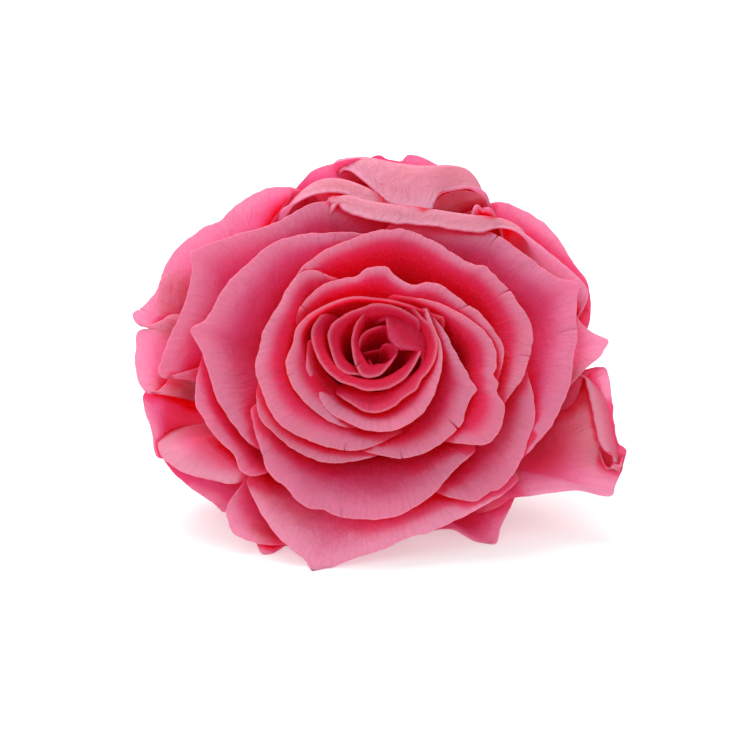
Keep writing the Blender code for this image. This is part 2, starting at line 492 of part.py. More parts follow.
def union_of(name, base_mesh, repeats):
    """The base with every repeat joined on by one Boolean union, and the repeats removed."""
    collection = bpy.data.collections.new(name + "_repeats")
    bpy.context.scene.collection.children.link(collection)
    for i, mesh in enumerate(repeats):
        add_object(f"{name}_repeat_{i}", mesh, collection)
    whole = add_object(name, base_mesh, bpy.context.scene.collection)
    join = whole.modifiers.new("join", "BOOLEAN")
    join.operation = "UNION"
    join.operand_type = "COLLECTION"
    join.collection = collection
    join.solver = "MANIFOLD"
    apply_modifiers(whole)
    for piece in list(collection.objects):
        bpy.data.objects.remove(piece)
    bpy.data.collections.remove(collection)
    return whole


def apply_modifiers(piece):
    evaluated = piece.evaluated_get(bpy.context.evaluated_depsgraph_get())
    mesh = bpy.data.meshes.new_from_object(evaluated)
    piece.modifiers.clear()
    piece.data = mesh


def islands(bm):
    """The faces of each separate shell."""
    waiting = set(bm.faces)
    while waiting:
        shell, edge = set(), [waiting.pop()]
        while edge:
            face = edge.pop()
            shell.add(face)
            for side in face.edges:
                for other in side.link_faces:
                    if other in waiting:
                        waiting.remove(other)
                        edge.append(other)
        yield shell


def keep_outer_shell(bm):
    """Fills hollows that joining sealed, and drops loose scraps: only the largest shell stays."""
    shells = sorted(islands(bm), key=len)
    spare = [face for shell in shells[:-1] for face in shell]
    bmesh.ops.delete(bm, geom=spare, context="FACES")


def lay_down(piece):
    """Tilts the piece as the head lies and cuts what reaches below the ground flat."""
    bm = bmesh.new()
    bm.from_mesh(piece.data)
    eye = Matrix.Translation(Vector((*EYE_PLACE, EYE_HEIGHT)) * MM)
    bmesh.ops.transform(bm, matrix=eye @ Matrix.Rotation(HEAD_TILT, 4, "X"), verts=bm.verts)
    keep_outer_shell(bm)
    everything = list(bm.verts) + list(bm.edges) + list(bm.faces)
    cut = bmesh.ops.bisect_plane(bm, geom=everything, dist=1e-7, plane_co=(0, 0, 0),
                                 plane_no=(0, 0, 1), clear_inner=True)
    open_edges = [e for e in cut["geom_cut"] if isinstance(e, bmesh.types.BMEdge)]
    bmesh.ops.holes_fill(bm, edges=open_edges, sides=0)
    keep_outer_shell(bm)
    bm.to_mesh(piece.data)
    bm.free()


def finish(piece, colour, roughness):
    """Gives the piece its own material, shaded smooth but for sharp edges."""
    material = bpy.data.materials.new(piece.name)
    material.use_nodes = True
    shader = material.node_tree.nodes["Principled BSDF"]
    shader.inputs["Base Color"].default_value = colour
    shader.inputs["Roughness"].default_value = roughness
    piece.data.materials.clear()
    piece.data.materials.append(material)
    piece.data.shade_smooth()
    piece.data.set_sharp_from_angle(angle=SHARP_ANGLE)


def bloom():
    """Every petal, grown from the receptacle."""
    blades = []
    for i, petal in enumerate(PETALS):
        grid = petal_grid(petal, i / (len(PETALS) - 1), column_count(petal))
        blades.append(slab_mesh(petal.name, grid, THICKNESS))
    whole = union_of("bloom", turned_mesh("receptacle", RECEPTACLE, RECEPTACLE_SIDES), blades)
    lay_down(whole)
    finish(whole, *PETAL_FINISH)


def sepal_grid(angle):
    """Rows across one sepal, from inside the hip out to its pointed end."""
    grid = []
    for row in range(SEPAL_ROWS + 1):
        t = row / SEPAL_ROWS
        reach = SEPAL_ROOT[0] + SEPAL_LENGTH * t
        height = SEPAL_ROOT[1] + SEPAL_RISE * t * t
        half = (SEPAL_WIDTH * (1 - t * t) + SEPAL_END) / 2
        side = Vector((-math.sin(angle), math.cos(angle), 0))
        middle = outward(angle) * reach
        grid.append([middle + side * half * k + Vector((0, 0, height + SEPAL_HOLLOW * abs(k)))
                     for k in (-1, 0, 1)])
    return grid


def calyx():
    """The hip with its sepals spread under the petals, and the cut stub of stem."""
    blades = []
    for k in range(SEPALS):
        grid = sepal_grid(FIRST_SEPAL + math.tau * k / SEPALS)
        blades.append(slab_mesh(f"sepal_{k}", grid, SEPAL_THICKNESS))
    whole = union_of("calyx", turned_mesh("hip", HIP, HIP_SIDES), blades)
    lay_down(whole)
    finish(whole, *CALYX_FINISH)


def main():
    for old in list(bpy.data.objects):
        bpy.data.objects.remove(old)
    bloom()
    calyx()


main()
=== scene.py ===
"""The looks of a preserved rose head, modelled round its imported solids, laid out as an add-on.

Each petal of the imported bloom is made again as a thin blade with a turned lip, a waved and cracked rim
and veins. A petal is one entry in PETALS, much as in the part's own source: its rim is a smooth line
through a few points, in millimetres as an onlooker sees them from the eye of the bloom, and its heights
say how far each part of the rim stands above the eye along the bloom's own axis. Three petals differ
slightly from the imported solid's, and FOLDS holds small folds that the solid leaves out.
"""

import math
from typing import NamedTuple

import bmesh
import bpy
from bpy.props import FloatProperty, FloatVectorProperty, IntProperty, PointerProperty
from mathutils import Matrix, Vector, noise
from mathutils.bvhtree import BVHTree


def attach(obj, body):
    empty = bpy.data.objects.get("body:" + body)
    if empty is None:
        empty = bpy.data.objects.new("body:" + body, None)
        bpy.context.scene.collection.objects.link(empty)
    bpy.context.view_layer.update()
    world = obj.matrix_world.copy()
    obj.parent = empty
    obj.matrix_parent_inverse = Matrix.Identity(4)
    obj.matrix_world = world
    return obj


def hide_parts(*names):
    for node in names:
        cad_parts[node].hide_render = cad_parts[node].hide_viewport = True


bl_info = {
    "name": "Preserved Rose",
    "version": (1, 0, 0),
    "blender": (4, 5, 0),
    "location": "3D View > Sidebar > Rose",
    "description": "Builds the petals, calyx and studio of a preserved rose head",
    "category": "Add Mesh",
}

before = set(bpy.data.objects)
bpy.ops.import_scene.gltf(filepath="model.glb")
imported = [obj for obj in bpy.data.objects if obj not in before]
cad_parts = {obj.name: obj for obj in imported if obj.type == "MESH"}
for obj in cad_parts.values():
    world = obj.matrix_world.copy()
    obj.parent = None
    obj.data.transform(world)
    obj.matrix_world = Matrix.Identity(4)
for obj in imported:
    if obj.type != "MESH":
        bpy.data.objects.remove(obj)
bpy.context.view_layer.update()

MM = 0.001

# How the head lies: the tilt of its axis from upright, and where the eye of the bloom is
HEAD_TILT = math.radians(42)
EYE_HEIGHT = 27.4
EYE_PLACE = (0.16, -10.43)
EYE = Matrix.Translation(Vector((*EYE_PLACE, EYE_HEIGHT))) @ Matrix.Rotation(HEAD_TILT, 4, "X")

# Where the onlooker stands, seen from the eye of the bloom, and the place in the middle of the picture
VIEW_TILT = math.radians(30)
VIEW_DISTANCE = 350.0
SIGHT = Vector((0, -math.sin(VIEW_TILT), math.cos(VIEW_TILT)))
PICTURE_UP = Vector((0, math.cos(VIEW_TILT), math.sin(VIEW_TILT)))
PICTURE_MIDDLE = (-0.14, -4.2)
LENS = 119.8

# Petals grow from the receptacle in a spiral, each a little lower and further out than the one before.
FIRST_ROOT = (1.0, -13.0)
LAST_ROOT = (4.8, -28.0)
RECEPTACLE = ((1.6, -10.5), (4.0, -13.0), (5.5, -17.0), (7.0, -21.0), (7.4, -25.0), (6.2, -28.2),
              (4.8, -29.2))

# Calyx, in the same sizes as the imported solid, but with thinner and more pointed sepals. A sepal narrows
# to its end by the power SEPAL_TAPER. Its sides stand SEPAL_HOLLOW mm above its middle, and less towards
# the end, down to the share SEPAL_END_HOLLOW. SEPAL_WAVE and SEPAL_RAGGED say how strong its waves and its
# ragged sides are, how much noise a mm holds, and how far off the next sepal's is. SEPAL_FACES are its
# faces across and along.
HIP = ((4.6, -29.6), (5.1, -30.8), (4.9, -32.4), (3.6, -34.2), (2.7, -35.4), (2.6, -42.4))
SEPALS = 5
FIRST_SEPAL = math.radians(90)
SEPAL_ROOT = (3.6, -30.2)
SEPAL_LENGTH = 8.0
SEPAL_RISE = 1.0
SEPAL_WIDTH = 4.0
SEPAL_END = 0.35
SEPAL_TAPER = 1.6
SEPAL_THICKNESS = 0.4
SEPAL_HOLLOW = 0.45
SEPAL_END_HOLLOW = 0.5
SEPAL_WAVE = (0.25, 0.6, 3.3)
SEPAL_RAGGED = (0.16, 1.3, 5.1)
SEPAL_FACES = (12, 26)

# A petal's rim is read every STATION mm, from a line with RIM_STEPS steps between two of its points. The
# belly and the foot of the lip follow the rim smoothed over EVEN_OUT mm to each side, so that a small
# notch in the rim doesn't run down to the claw.
STATION = 0.4
RIM_STEPS = 12
FEWEST_STATIONS = 8
EVEN_OUT = 3.0

# A tail goes on from its petal's end the way that the last TAIL_AIM stations turn. It sinks and draws in
# slowly at first, by this power of the share along it.
TAIL_AIM = 8
FEWEST_TAIL_STATIONS = 4
TAIL_EASE = 1.4

# A side of a petal is round at its top: it stops at this share of the way up.
SHOULDER = 0.85
SHOULDER_WIDTH = 3.0

# Faces: rows from claw to rim, the rows of the turned edge, and the fewest columns
BODY_ROWS = 34
EDGE_ROWS = 3
FEWEST_COLUMNS = 16
ROW_EASE = 0.85
EDGE_TURN = math.radians(80)

# Waves: (height, length) of a rim's slow and fine waves, of its ragged edge, and of the crumpled blade,
# how many mm below the rim they fade out in, and the share of the crumples that is left at the claw
SLOW_WAVE = (0.35, 8.0)
FINE_WAVE = (0.1, 2.6)
WAVE_FADE = 4
RAGGED = (0.16, 0.9)
RAGGED_FADE = 1.5
CRUMPLES = ((0.35, 6.0), (0.1, 2.2))
CRUMPLED_CLAW = 0.4

# A petal's waves are read SEED_STEP from those of the next one, and its crumples CRUMPLE_STEP. Its fine
# waves and its ragged edge are read further on from its slow waves, by these shares of the step. Noise is
# 0 at whole numbers, so it is read off the grid.
SEED_STEP = 7.31
CRUMPLE_STEP = 3.7
FINE_SEED = 0.4
RAGGED_SEED = 0.7
OFF_GRID = 0.5

# A peak narrows towards its tip by this power, and fades out in this many mm below the rim.
PEAK_POWER = 1.5
PEAK_FADE = 2

# The lip takes up the shares of the way up from here on, and the side takes up those below.
LIP_START = 0.5
LIP_MIDDLE = 0.8

# Cover: how closely other petals stand over a place. It is read at this many steps along and up a blade,
# in this many directions, from COVER_START to COVER_REACH mm off the blade, and counts what is near most.
# This cover sets where shade is painted into the petals' colour.
COVER_STEPS = (40, 12)
COVER_RAYS = 20
COVER_REACH = 9.0
COVER_START = 0.3

# A blade that would reach below the ground lies flat on it, this far above. The softness, in mm2, rounds
# the bend where it comes to lie.
REST_GAP = 0.02
REST_SOFTNESS = 0.01


class Layer(NamedTuple):
    """claw: how narrow a petal's foot is. belly and belly_rise: how its side bulges on the way up.
    bend: how gently the side bends into the lip. turned: the radius of its turned edge.
    crown: how far its lip is arched, and how far below the rim. tail: how far round the bloom its ends go
    on, in degrees, how far they sink, and the share that they are drawn in, so that its sides are hidden.
    wave: how strongly its rim waves. finish: its material."""

    claw: float
    belly: float
    belly_rise: float
    bend: float
    turned: float
    crown: tuple
    tail: tuple
    wave: float
    finish: str


LAYERS = {
    "eye": Layer(0.9, 0.5, 2, 1.2, 0.05, (0.1, 0.8), (10, 1.5, 0.1), 0.3, "eye"),
    "ring": Layer(0.85, 0.55, 1, 2.0, 0.05, (0.2, 1.2), (24, 4.0, 0.25), 0.25, "eye"),
    "heart": Layer(0.85, 0.55, 1, 2.0, 0.06, (0.25, 1.2), (24, 4.5, 0.3), 0.4, "heart"),
    "cup": Layer(0.6, 0.7, 0, 3.0, 0.08, (0.5, 1.8), (16, 5.0, 0.25), 0.5, "cup"),
    "wide": Layer(0.45, 0.66, 1, 4.0, 0.1, (0.5, 2.5), (11, 4.0, 0.25), 0.8, "wide"),
    "outer": Layer(0.35, 0.58, 3.5, 4.0, 0.1, (0.5, 2.5), (9, 5.5, 0.06), 1.0, "outer"),
    "curled": Layer(0.35, 0.58, 3.5, 4.0, 0.8, (0.5, 2.5), (9, 5.5, 0.06), 1.4, "outer"),
    "curl": Layer(0.35, 0.58, 3.5, 2.0, 0.1, (0.1, 1.0), (2, 1.0, 0.0), 1.0, "outer"),
    "rolled": Layer(0.35, 0.58, 3.5, 7.0, 0.1, (0.2, 1.5), (5, 3.0, 0.08), 0.6, "rolled"),
    "folded": Layer(0.35, 0.58, 3.5, 16.0, 0.1, (0.2, 1.5), (2, 1.5, 0.0), 1.2, "rolled"),
}


class Petal(NamedTuple):
    """rim: (across, up) seen by the onlooker. heights: along the axis, spread evenly over the rim.
    lean: how the lip stands, 90 upright, 0 flat outward, below 0 rolled back, above 90 folded in.
    lip: how long the lip is before the petal's side bends down. Leans and lips too are spread evenly
    over the rim. centre: the place on the bloom's own axes that the petal curves round, for one that
    doesn't wrap the eye."""

    name: str
    layer: str
    rim: tuple
    heights: tuple
    lean: tuple
    lip: tuple
    centre: tuple = (0.0, 0.0)


PETALS = (
    Petal("eye_cup", "eye",
          ((-1.4, 4.8), (-2.5, 3.4), (-3.1, 2), (-3.4, 0.4), (-3.2, -1), (-2.9, -2.4), (-2.1, -4.1),
           (-1, -4.5), (0.6, -4.1), (1.8, -2.8), (2.9, -1.3)),
          (-0.5, -0.3, -0.8, -1.4, -1.5, -1.5), (85, 75, 30, 30, 75), (1.5, 1.5, 1.2, 1.2, 1.2)),
    Petal("eye_arch", "eye",
          ((-2.5, -0.6), (-2.1, 0.9), (-1.3, 1.8), (0, 2.4), (1.5, 2.7), (2.8, 2.3)),
          (-2, -1.2, -1.2), (95, 110, 115, 100), (1.2, 1.5, 1.2)),
    Petal("eye_hood", "eye",
          ((1.4, 3.5), (1.6, 2.4), (1.9, 0.9), (3, -0.5), (4.7, -0.6), (6.3, -1), (6.4, -2.5), (5.8, -4),
           (5.2, -4.9)),
          (-0.4, -0.8, -1.2, -1.4, -2.2), (160, 168, 165, 140, 85), (4, 4.5, 4, 2), (-2, -4)),
    Petal("petaloid_low", "eye",
          ((-2, -1.2), (-0.7, -0.9), (0.6, -0.6), (1.1, 0.2)),
          (-4, -3.6, -3.8), (100, 100), (1.2, 1.2), (-0.6, -3)),
    Petal("petaloid_side", "eye",
          ((1.1, 0.1), (1.8, 0.2), (2.8, -0.4), (3, -0.9), (2.6, -1.8), (1.6, -2.4)),
          (-2.2, -2, -2.6), (80, 80), (1.2, 1.2), (0.6, -2.4)),
    Petal("petaloid_bottom", "eye",
          ((-1, -2), (-0.5, -2.9), (0.4, -2.7), (1.3, -3.1)),
          (-3, -2.8, -2.8), (90, 90), (1.2, 1.2), (0, -1)),
    Petal("ring_one", "ring",
          ((5.9, 3.7), (3.6, 5), (1.5, 5.7), (-0.7, 5.7), (-2.8, 4.9), (-4.9, 3.9), (-6.2, 2.7),
           (-6.7, 1.3), (-6.3, -0.6), (-5.7, -2.7), (-5, -3.6), (-3.8, -4.1), (-2.4, -4.2)),
          (-0.6, 0.2, 0.1, -0.7, -1.6), (80, 75, 70, 45, 25), (1.5, 1.5, 1.3, 1.2)),
    Petal("ring_two", "ring",
          ((-7.8, 4.1), (-8.8, 2.7), (-9.1, 1.1), (-8.5, -0.8), (-7.4, -3.1), (-5.3, -5), (-3.5, -5.6),
           (-1.5, -6.3), (0.6, -6.3), (2.2, -5.9), (3.9, -4.8), (5, -3.5), (6.3, -1.2)),
          (-0.5, -0.2, -1, -1.4, -1), (60, 40, 30, 25, 30, 60), (1.5, 1.3, 1.5, 1.3)),
    Petal("ring_three", "ring",
          ((5.2, 5.3), (6.4, 4), (7.8, 2.7), (8.5, 0.7), (8.5, -1), (7.8, -3.1), (6.4, -4.9), (5.7, -6.2),
           (3.9, -7.4), (2.2, -8.8), (0, -9.5), (-1.8, -9.2), (-3.2, -8.3), (-4.9, -7.3)),
          (-0.2, 0, -0.8, -1.6, -2), (80, 65, 35, 22, 20), (1.3, 1.8, 3.2, 3.4)),
    Petal("heart_lip", "heart",
          ((7.1, 4.9), (8.4, 1.6), (9.2, -0.8), (9, -3.8), (8.4, -6), (7.7, -7.7), (6.4, -9.7),
           (4.3, -11.2), (2.2, -12), (0.8, -12), (-1.4, -11.8), (-4.2, -10.6), (-6.3, -9.4), (-8.4, -7),
           (-9.4, -5.2), (-9.7, -2.6), (-9.6, 0.2)),
          (0, -0.2, -1.2, -2, -1.8, -0.8), (70, 45, 22, 20, 22, 35, 60),
          (1.5, 2, 4.5, 5.5, 5, 2)),
    Petal("heart_side", "heart",
          ((9.4, 3.9), (7.3, 4.6), (4.3, 5.7), (0.8, 6.4), (-3.4, 6.6), (-5.9, 6), (-9, 4.5),
           (-11.1, 2.4), (-11.6, 0.1), (-12.5, -2.4), (-12, -4.8), (-10.8, -6.9), (-8.4, -9.2),
           (-6.7, -10.4), (-4.9, -11.2)),
          (-0.4, 0.4, 0.6, 0.2, -0.8, -2.4), (100, 115, 115, 95, 35, 20, 20),
          (1.5, 1.3, 1.4, 2, 3.2, 3.5, 3.5)),
    Petal("point_right", "cup",
          ((7, 5.2), (9.5, 1.8), (10.9, -0.8), (12.6, -3.8), (13.5, -5.9), (13.2, -7.3), (12.5, -8.8),
           (11.8, -11.2), (9.7, -13.2), (7.4, -14.7), (5.5, -15.4), (3.4, -15.8), (1.1, -15.5),
           (-1.2, -14.9)),
          (-0.5, -0.8, -1.6, -2.8, -3.5, -4.2), (65, 35, 22, 20, 20, 22), (1.5, 3, 5, 6, 6, 5)),
    Petal("wave_right", "cup",
          ((2.4, 7.2), (8.5, 6), (12.6, 3.8), (15.3, 1.8), (16.6, -0.7), (16.8, -2.9), (16.3, -4.2),
           (17.1, -5.4), (16.8, -6.6), (17.9, -8.5), (17.8, -10.4), (16.7, -12.7), (15.4, -13.8),
           (12.6, -13.7), (9.6, -13.4)),
          (0.2, 0.1, -0.6, -1.4, -2.6, -4.6), (100, 80, 40, 25, 15, 10, 15),
          (1.3, 1.5, 2.5, 3, 4, 5, 5)),
    Petal("wave_top", "cup",
          ((-11.1, 4.2), (-9.9, 6.2), (-8, 8), (-5.9, 9), (-2.8, 9.5), (-1.4, 10.6), (0, 10.9),
           (1.5, 10.8), (2.4, 9.8), (3.9, 8.8), (5.6, 8.3), (7.4, 8.7), (9.5, 8.1), (12.6, 5.7),
           (14.7, 4.2), (16.7, 1.8), (17.8, 0), (17.9, -2), (17.3, -4.6)),
          (-1, 0.2, 0.4, 0, -0.8, -2.2), (60, 50, 35, 30, 40, 60), (1.5, 1.6, 2, 2.4, 2.2, 2)),
    Petal("cup_left", "cup",
          ((-6.2, 9.4), (-8.4, 10.3), (-10.5, 10), (-12.3, 8), (-13.3, 6), (-14.7, 3.8), (-15.7, 2),
           (-16.2, -0.6), (-16.8, -2.4), (-16.6, -4.5), (-15.7, -7), (-14.3, -10), (-12.2, -12),
           (-8.4, -13.7), (-4.5, -14.7), (-2.2, -14.6), (0.6, -13.6), (3, -12.4)),
          (-1.2, -0.6, -1, -1.8, -3, -4), (50, 30, 15, 10, 5, 10, 30),
          (2, 2.5, 3.5, 4, 5, 5, 4)),
    Petal("cup_top", "cup",
          ((-13, 6.8), (-11.3, 9.4), (-10.1, 10.9), (-8.4, 12.3), (-6.2, 13.7), (-3.9, 14.5),
           (-0.4, 15.8), (1.5, 16.1), (4.2, 16.1), (6.9, 15), (9, 13.9), (12.5, 11.7), (13.9, 11.1),
           (15.4, 10.9), (16.5, 9.4), (18.5, 7.8), (20, 5.6), (21.3, 3.5), (21.8, 1.2), (21.2, -2.2),
           (20.7, -4.1), (19.5, -6), (17.8, -8.4)),
          (-1.6, -0.6, -0.4, -0.5, -1.2, -2.2, -3.6), (60, 40, 25, 20, 25, 20, 30),
          (1.5, 2.5, 3, 3, 3.5, 4.5, 4.5)),
    Petal("cup_under", "cup",
          ((-16.2, -4.5), (-16.6, -7.2), (-16.1, -10.2), (-14.3, -12.2), (-11.8, -14.4), (-8.4, -16),
           (-5.9, -16.4), (-2.8, -16.1), (-0.6, -15.5), (2.4, -14)),
          (-2.6, -3.4, -4.4, -4.6, -4.6), (40, 20, 12, 15, 30), (4, 4.5, 5, 4.5)),
    Petal("corner_left", "wide",
          ((6.2, 17.2), (3, 18), (0, 18.8), (-3.2, 19.4), (-7.6, 20), (-10.6, 19), (-13.3, 17.4),
           (-16.5, 16.2), (-19, 15.5), (-21.4, 14.7), (-24, 13.7), (-25.4, 12.4), (-25.6, 10.8),
           (-26.2, 7.6), (-27.4, 3.9), (-28.7, 1.3), (-30, -2), (-30.4, -3.8), (-29.4, -4.5), (-27.4, -4),
           (-24.8, -3.2)),
          (-3.2, -3.4, -4, -4.8, -5.4, -7.2, -8.5), (40, 38, 30, 28, 28, 35),
          (4, 5, 6, 9, 9.5, 8)),
    Petal("tip_left", "wide",
          ((-1, 15.4), (-3.4, 15.6), (-6.9, 15.6), (-10.4, 15.4), (-13.2, 14.7), (-15.4, 13.6),
           (-17.2, 12), (-21, 8.3), (-23.5, 3.8), (-25.2, 2), (-24.2, -1.3), (-23.2, -4.3), (-22.1, -7.7),
           (-19.6, -11.3), (-17.8, -13.7), (-15.6, -15)),
          (-2.6, -2.2, -2.6, -3.4, -5, -7), (40, 30, 28, 25, 20, 25), (3.5, 4.5, 7, 8.5, 8, 7)),
    Petal("under_left", "wide",
          ((-23.6, 0), (-24.4, -2.5), (-25, -5.2), (-25.1, -8.4), (-23.8, -10.9), (-22, -13.4),
           (-20, -15.3), (-19, -17.6), (-17.2, -18.4), (-14.6, -17.6)),
          (-5, -5.6, -6.6, -8, -8), (45, 38, 35, 35), (6, 7, 7)),
    Petal("corner_right", "wide",
          ((2.7, 17.2), (7.6, 16.8), (13.3, 16.1), (16.8, 15.4), (20.3, 12.9), (24.9, 9.6), (27.6, 8.2),
           (28.1, 6.4), (28, 3.4), (28.1, 1.2), (27.6, -1.5), (27.3, -4.9), (25.6, -9.1), (23.8, -12.3),
           (20.6, -15.8)),
          (-2.4, -2.4, -2.6, -3.4, -5, -7), (45, 35, 28, 25, 20, 20), (4.5, 5.5, 7.5, 8, 8.5)),
    Petal("bottom_lip", "wide",
          ((-17.4, -9.2), (-17, -11.4), (-16.4, -13.5), (-15.7, -15.4), (-15.3, -17.3), (-14.2, -18.7),
           (-12.6, -20), (-11.2, -21.6), (-9.7, -22.7), (-7.3, -23.1), (-6, -23.8), (-3.4, -24.4),
           (0.6, -24.5), (2.9, -23.9), (5.6, -22.5), (8.3, -20.6), (10.4, -18), (13.6, -15)),
          (-4.4, -5.4, -6.4, -6.6, -6.2, -5.4), (30, 18, 12, 14, 25), (7, 9.5, 10.5, 9.5, 7.5)),
    Petal("bottom_right", "wide",
          ((7, -20.2), (10.5, -21.4), (13.6, -21.9), (14.9, -21.2), (16.1, -20.3), (17.1, -20.2),
           (19.2, -18.1), (20.6, -15.3), (21.5, -12.6), (22.2, -9.9), (22, -7.4), (21.2, -3.9)),
          (-8, -7.8, -7, -5.6, -4.4), (20, 14, 15, 25), (8, 9, 8.5)),
    Petal("roll_top", "rolled",
          ((-5.3, 19.9), (-4.6, 18.9), (-2.9, 18.1), (-0.6, 17.6), (2.7, 17.1), (5.9, 16.8), (8.7, 16.5),
           (12.3, 16), (14.8, 15.8), (17, 16.5), (19, 16.2), (21, 15.3), (23.4, 13.6), (26.2, 11.2),
           (28.6, 9), (29.6, 7.4)),
          (-2.6, -2, -1.7, -1.6, -1.7, -2.4, -3.4, -4.8, -6.4),
          (185, 190, 190, 190, 190, 150, 90, 75, 70), (1.5, 1.5, 1.5, 2.5, 2.5)),
    Petal("roll_left", "rolled",
          ((-13, 19), (-11.2, 20), (-9.2, 21), (-7.1, 21.4), (-5, 21.3), (-2.8, 20.4), (-0.4, 19.2),
           (1.4, 18.4)),
          (-4.6, -4, -3.4, -3.2), (120, 185, 190), (1.5, 1.5)),
    Petal("flap_back", "folded",
          ((-4.2, 24.4), (-2.2, 23.4), (0.3, 21.4), (1.8, 20), (4.8, 19.4), (7.6, 18.9), (8.2, 20),
           (8.7, 20.9), (11.3, 21.6), (13.7, 21.8), (15.2, 21.2), (15.8, 20)),
          (-6, -4.2, -2.4, -2.2, -3.6, -5.2), (150, 180, 196, 165, 95), (2, 2.5)),
    Petal("front_tip", "outer",
          ((-17, -17.2), (-18, -18.9), (-17.2, -21.4), (-15.7, -24.2), (-13.7, -26.7), (-11.5, -28.6),
           (-9.6, -30.2), (-8.8, -32.1), (-6.9, -31.5), (-3.4, -30), (0.6, -28.7), (4.1, -27.2),
           (7.6, -26.2), (10.5, -24.8), (13.6, -23.4), (16.8, -21.6), (19.4, -19.4)),
          (-9.8, -9.2, -10, -9.6, -9, -8.6), (35, 15, 8, 12, 25), (8, 10, 11, 10, 8)),
    Petal("shoulder_left", "outer",
          ((-9, 20.8), (-11.2, 21.9), (-14.4, 22.1), (-16.5, 21.4), (-18.5, 20.2), (-20.2, 19),
           (-21.8, 17.3), (-23.7, 16.6), (-25.6, 15.3), (-27.9, 13.4), (-29.4, 11.3), (-30, 9.6),
           (-30.6, 7.2)),
          (-7, -7.4, -8, -9, -9.6), (55, 42, 40, 45), (6, 7, 7)),
    Petal("shoulder_right", "outer",
          ((14.6, 19), (16.2, 19.8), (17.8, 20), (20.3, 19), (22.7, 17.6), (24.8, 15.6), (26.4, 13.3),
           (27.6, 11.4), (29.3, 9.2), (29.9, 7.2)),
          (-6.6, -6.8, -7.4, -8.6), (60, 48, 45, 50), (5, 6, 6)),
    Petal("hook_right", "outer",
          ((27.4, 5.4), (28.6, 3.2), (29.9, 1.9), (32, 0.7), (31.9, -0.3), (31.2, -1.6), (29.6, -2.9),
           (27.9, -4.6), (26.6, -6)),
          (-8, -7.6, -8, -8.4), (50, 25, 25, 40), (6, 6)),
    Petal("roll_right", "curled",
          ((28.6, -4.6), (30.4, -3.4), (32, -3.2), (32.6, -6.4), (33.2, -10.4), (33.7, -13.4),
           (34.4, -14.4), (34.4, -16.2), (33.4, -18.8), (32.3, -20.6), (28.4, -19.9), (24.9, -20.2),
           (21.4, -20.7), (18.4, -21)),
          (-9, -9.4, -10.6, -12.4, -12.6, -12), (45, 28, 22, 22, 30), (7, 9, 10, 10)),
    Petal("slit_upper", "outer",
          ((-30, 9.2), (-30.9, 7.2), (-32.6, 5.4), (-33.8, 4), (-33.2, 2.8), (-31.5, 2.8), (-29.6, 3.6)),
          (-9, -9.6, -9.4), (50, 35, 40), (6, 6)),
    Petal("slit_lower", "outer",
          ((-29.4, 2.6), (-31.6, 2.2), (-33.3, 1.8), (-33.6, -0.2), (-33.6, -3.1), (-33.2, -5.2),
           (-32.3, -6.6), (-30.8, -6.6), (-29.4, -5.6)),
          (-10, -10, -10.2, -11), (40, 35, 35, 45), (7, 7)),
    Petal("side_left", "outer",
          ((-31, -5.4), (-32.4, -7), (-32.3, -9), (-31.5, -11.8), (-31.1, -13.9), (-30.6, -15.6),
           (-28.8, -15.6), (-26.6, -14.4)),
          (-11.4, -11.6, -12.4, -13), (60, 60, 65), (3.5, 3.5)),
    Petal("fold_left", "outer",
          ((-30.6, -14.2), (-29.6, -16), (-26.6, -17.9), (-23.1, -18.8), (-20.6, -19.4), (-18.6, -18.9),
           (-17, -17.6)),
          (-12.2, -12.4, -12, -10.6), (-5, -40, -40, 0), (5, 5, 3, 1.5)),
    Petal("low_left", "outer",
          ((-18, -18.6), (-19.6, -20.7), (-20.7, -22.6), (-20.7, -24.8), (-19.8, -26.6), (-17.8, -27.4),
           (-15, -27.9), (-12.4, -28)),
          (-10.6, -12, -12.6, -12.4), (55, 32, 30, 45), (5, 5)),
    Petal("back_left", "outer",
          ((-13.6, 18.4), (-11.9, 20.9), (-10.2, 23.2), (-8.7, 24.5), (-6.2, 25.2), (-3.8, 25.8),
           (-1.8, 25.9), (2, 25)),
          (-8, -7, -6.6, -7), (85, 80, 85), (4, 4)),
    Petal("back_top", "outer",
          ((-3.4, 25), (-2, 25.6), (0.3, 26.5), (1.8, 25.9), (3.6, 25.7), (4.5, 26.6), (7.1, 25.9),
           (9.7, 24.6), (13, 22.8)),
          (-9, -8.6, -8.6, -9.6), (80, 70, 80), (4, 4)),
    Petal("side_right", "outer",
          ((27, 9), (29, 7.6), (29.6, 5.8), (29.9, 3.6), (29.5, 1.4)),
          (-9.6, -10, -10), (60, 45, 55), (5, 5)),
    Petal("under_fold", "outer",
          ((-30.4, -14.6), (-28.9, -17.2), (-26, -20), (-23.4, -21.6), (-20.8, -23.2), (-19.2, -21.4),
           (-17.4, -19.6)),
          (-15, -15.6, -15.4, -13), (50, 35, 45), (5, 5)),
    Petal("low_tab", "outer",
          ((-17.4, -26.6), (-16.5, -28.4), (-15.9, -29.6), (-14.4, -29.3), (-12.8, -28.2)),
          (-13, -13.4, -13.4), (50, 30, 50), (3, 3)),
    Petal("low_right", "outer",
          ((20.2, -19.6), (18.8, -22.8), (17.6, -25.4), (16.8, -28.2), (15, -28.1), (12.6, -26.6),
           (10.4, -25.6), (7, -26.2)),
          (-14, -15.6, -16.2, -14), (55, 38, 45), (5, 5)),
    Petal("guard_right", "outer",
          ((22.6, -8), (26.4, -2), (28, 2.6), (26.8, 7.6), (23.8, 12), (18.8, 15.4), (13, 17)),
          (-14.6, -14, -14, -13), (70, 50, 70), (5, 5)),
    Petal("guard_top", "outer",
          ((15, 16), (11, 19.6), (5, 21.6), (-1, 22), (-7, 20.6), (-12, 17.4)),
          (-14, -13.6, -14), (75, 60, 75), (5, 5)),
    Petal("guard_left", "outer",
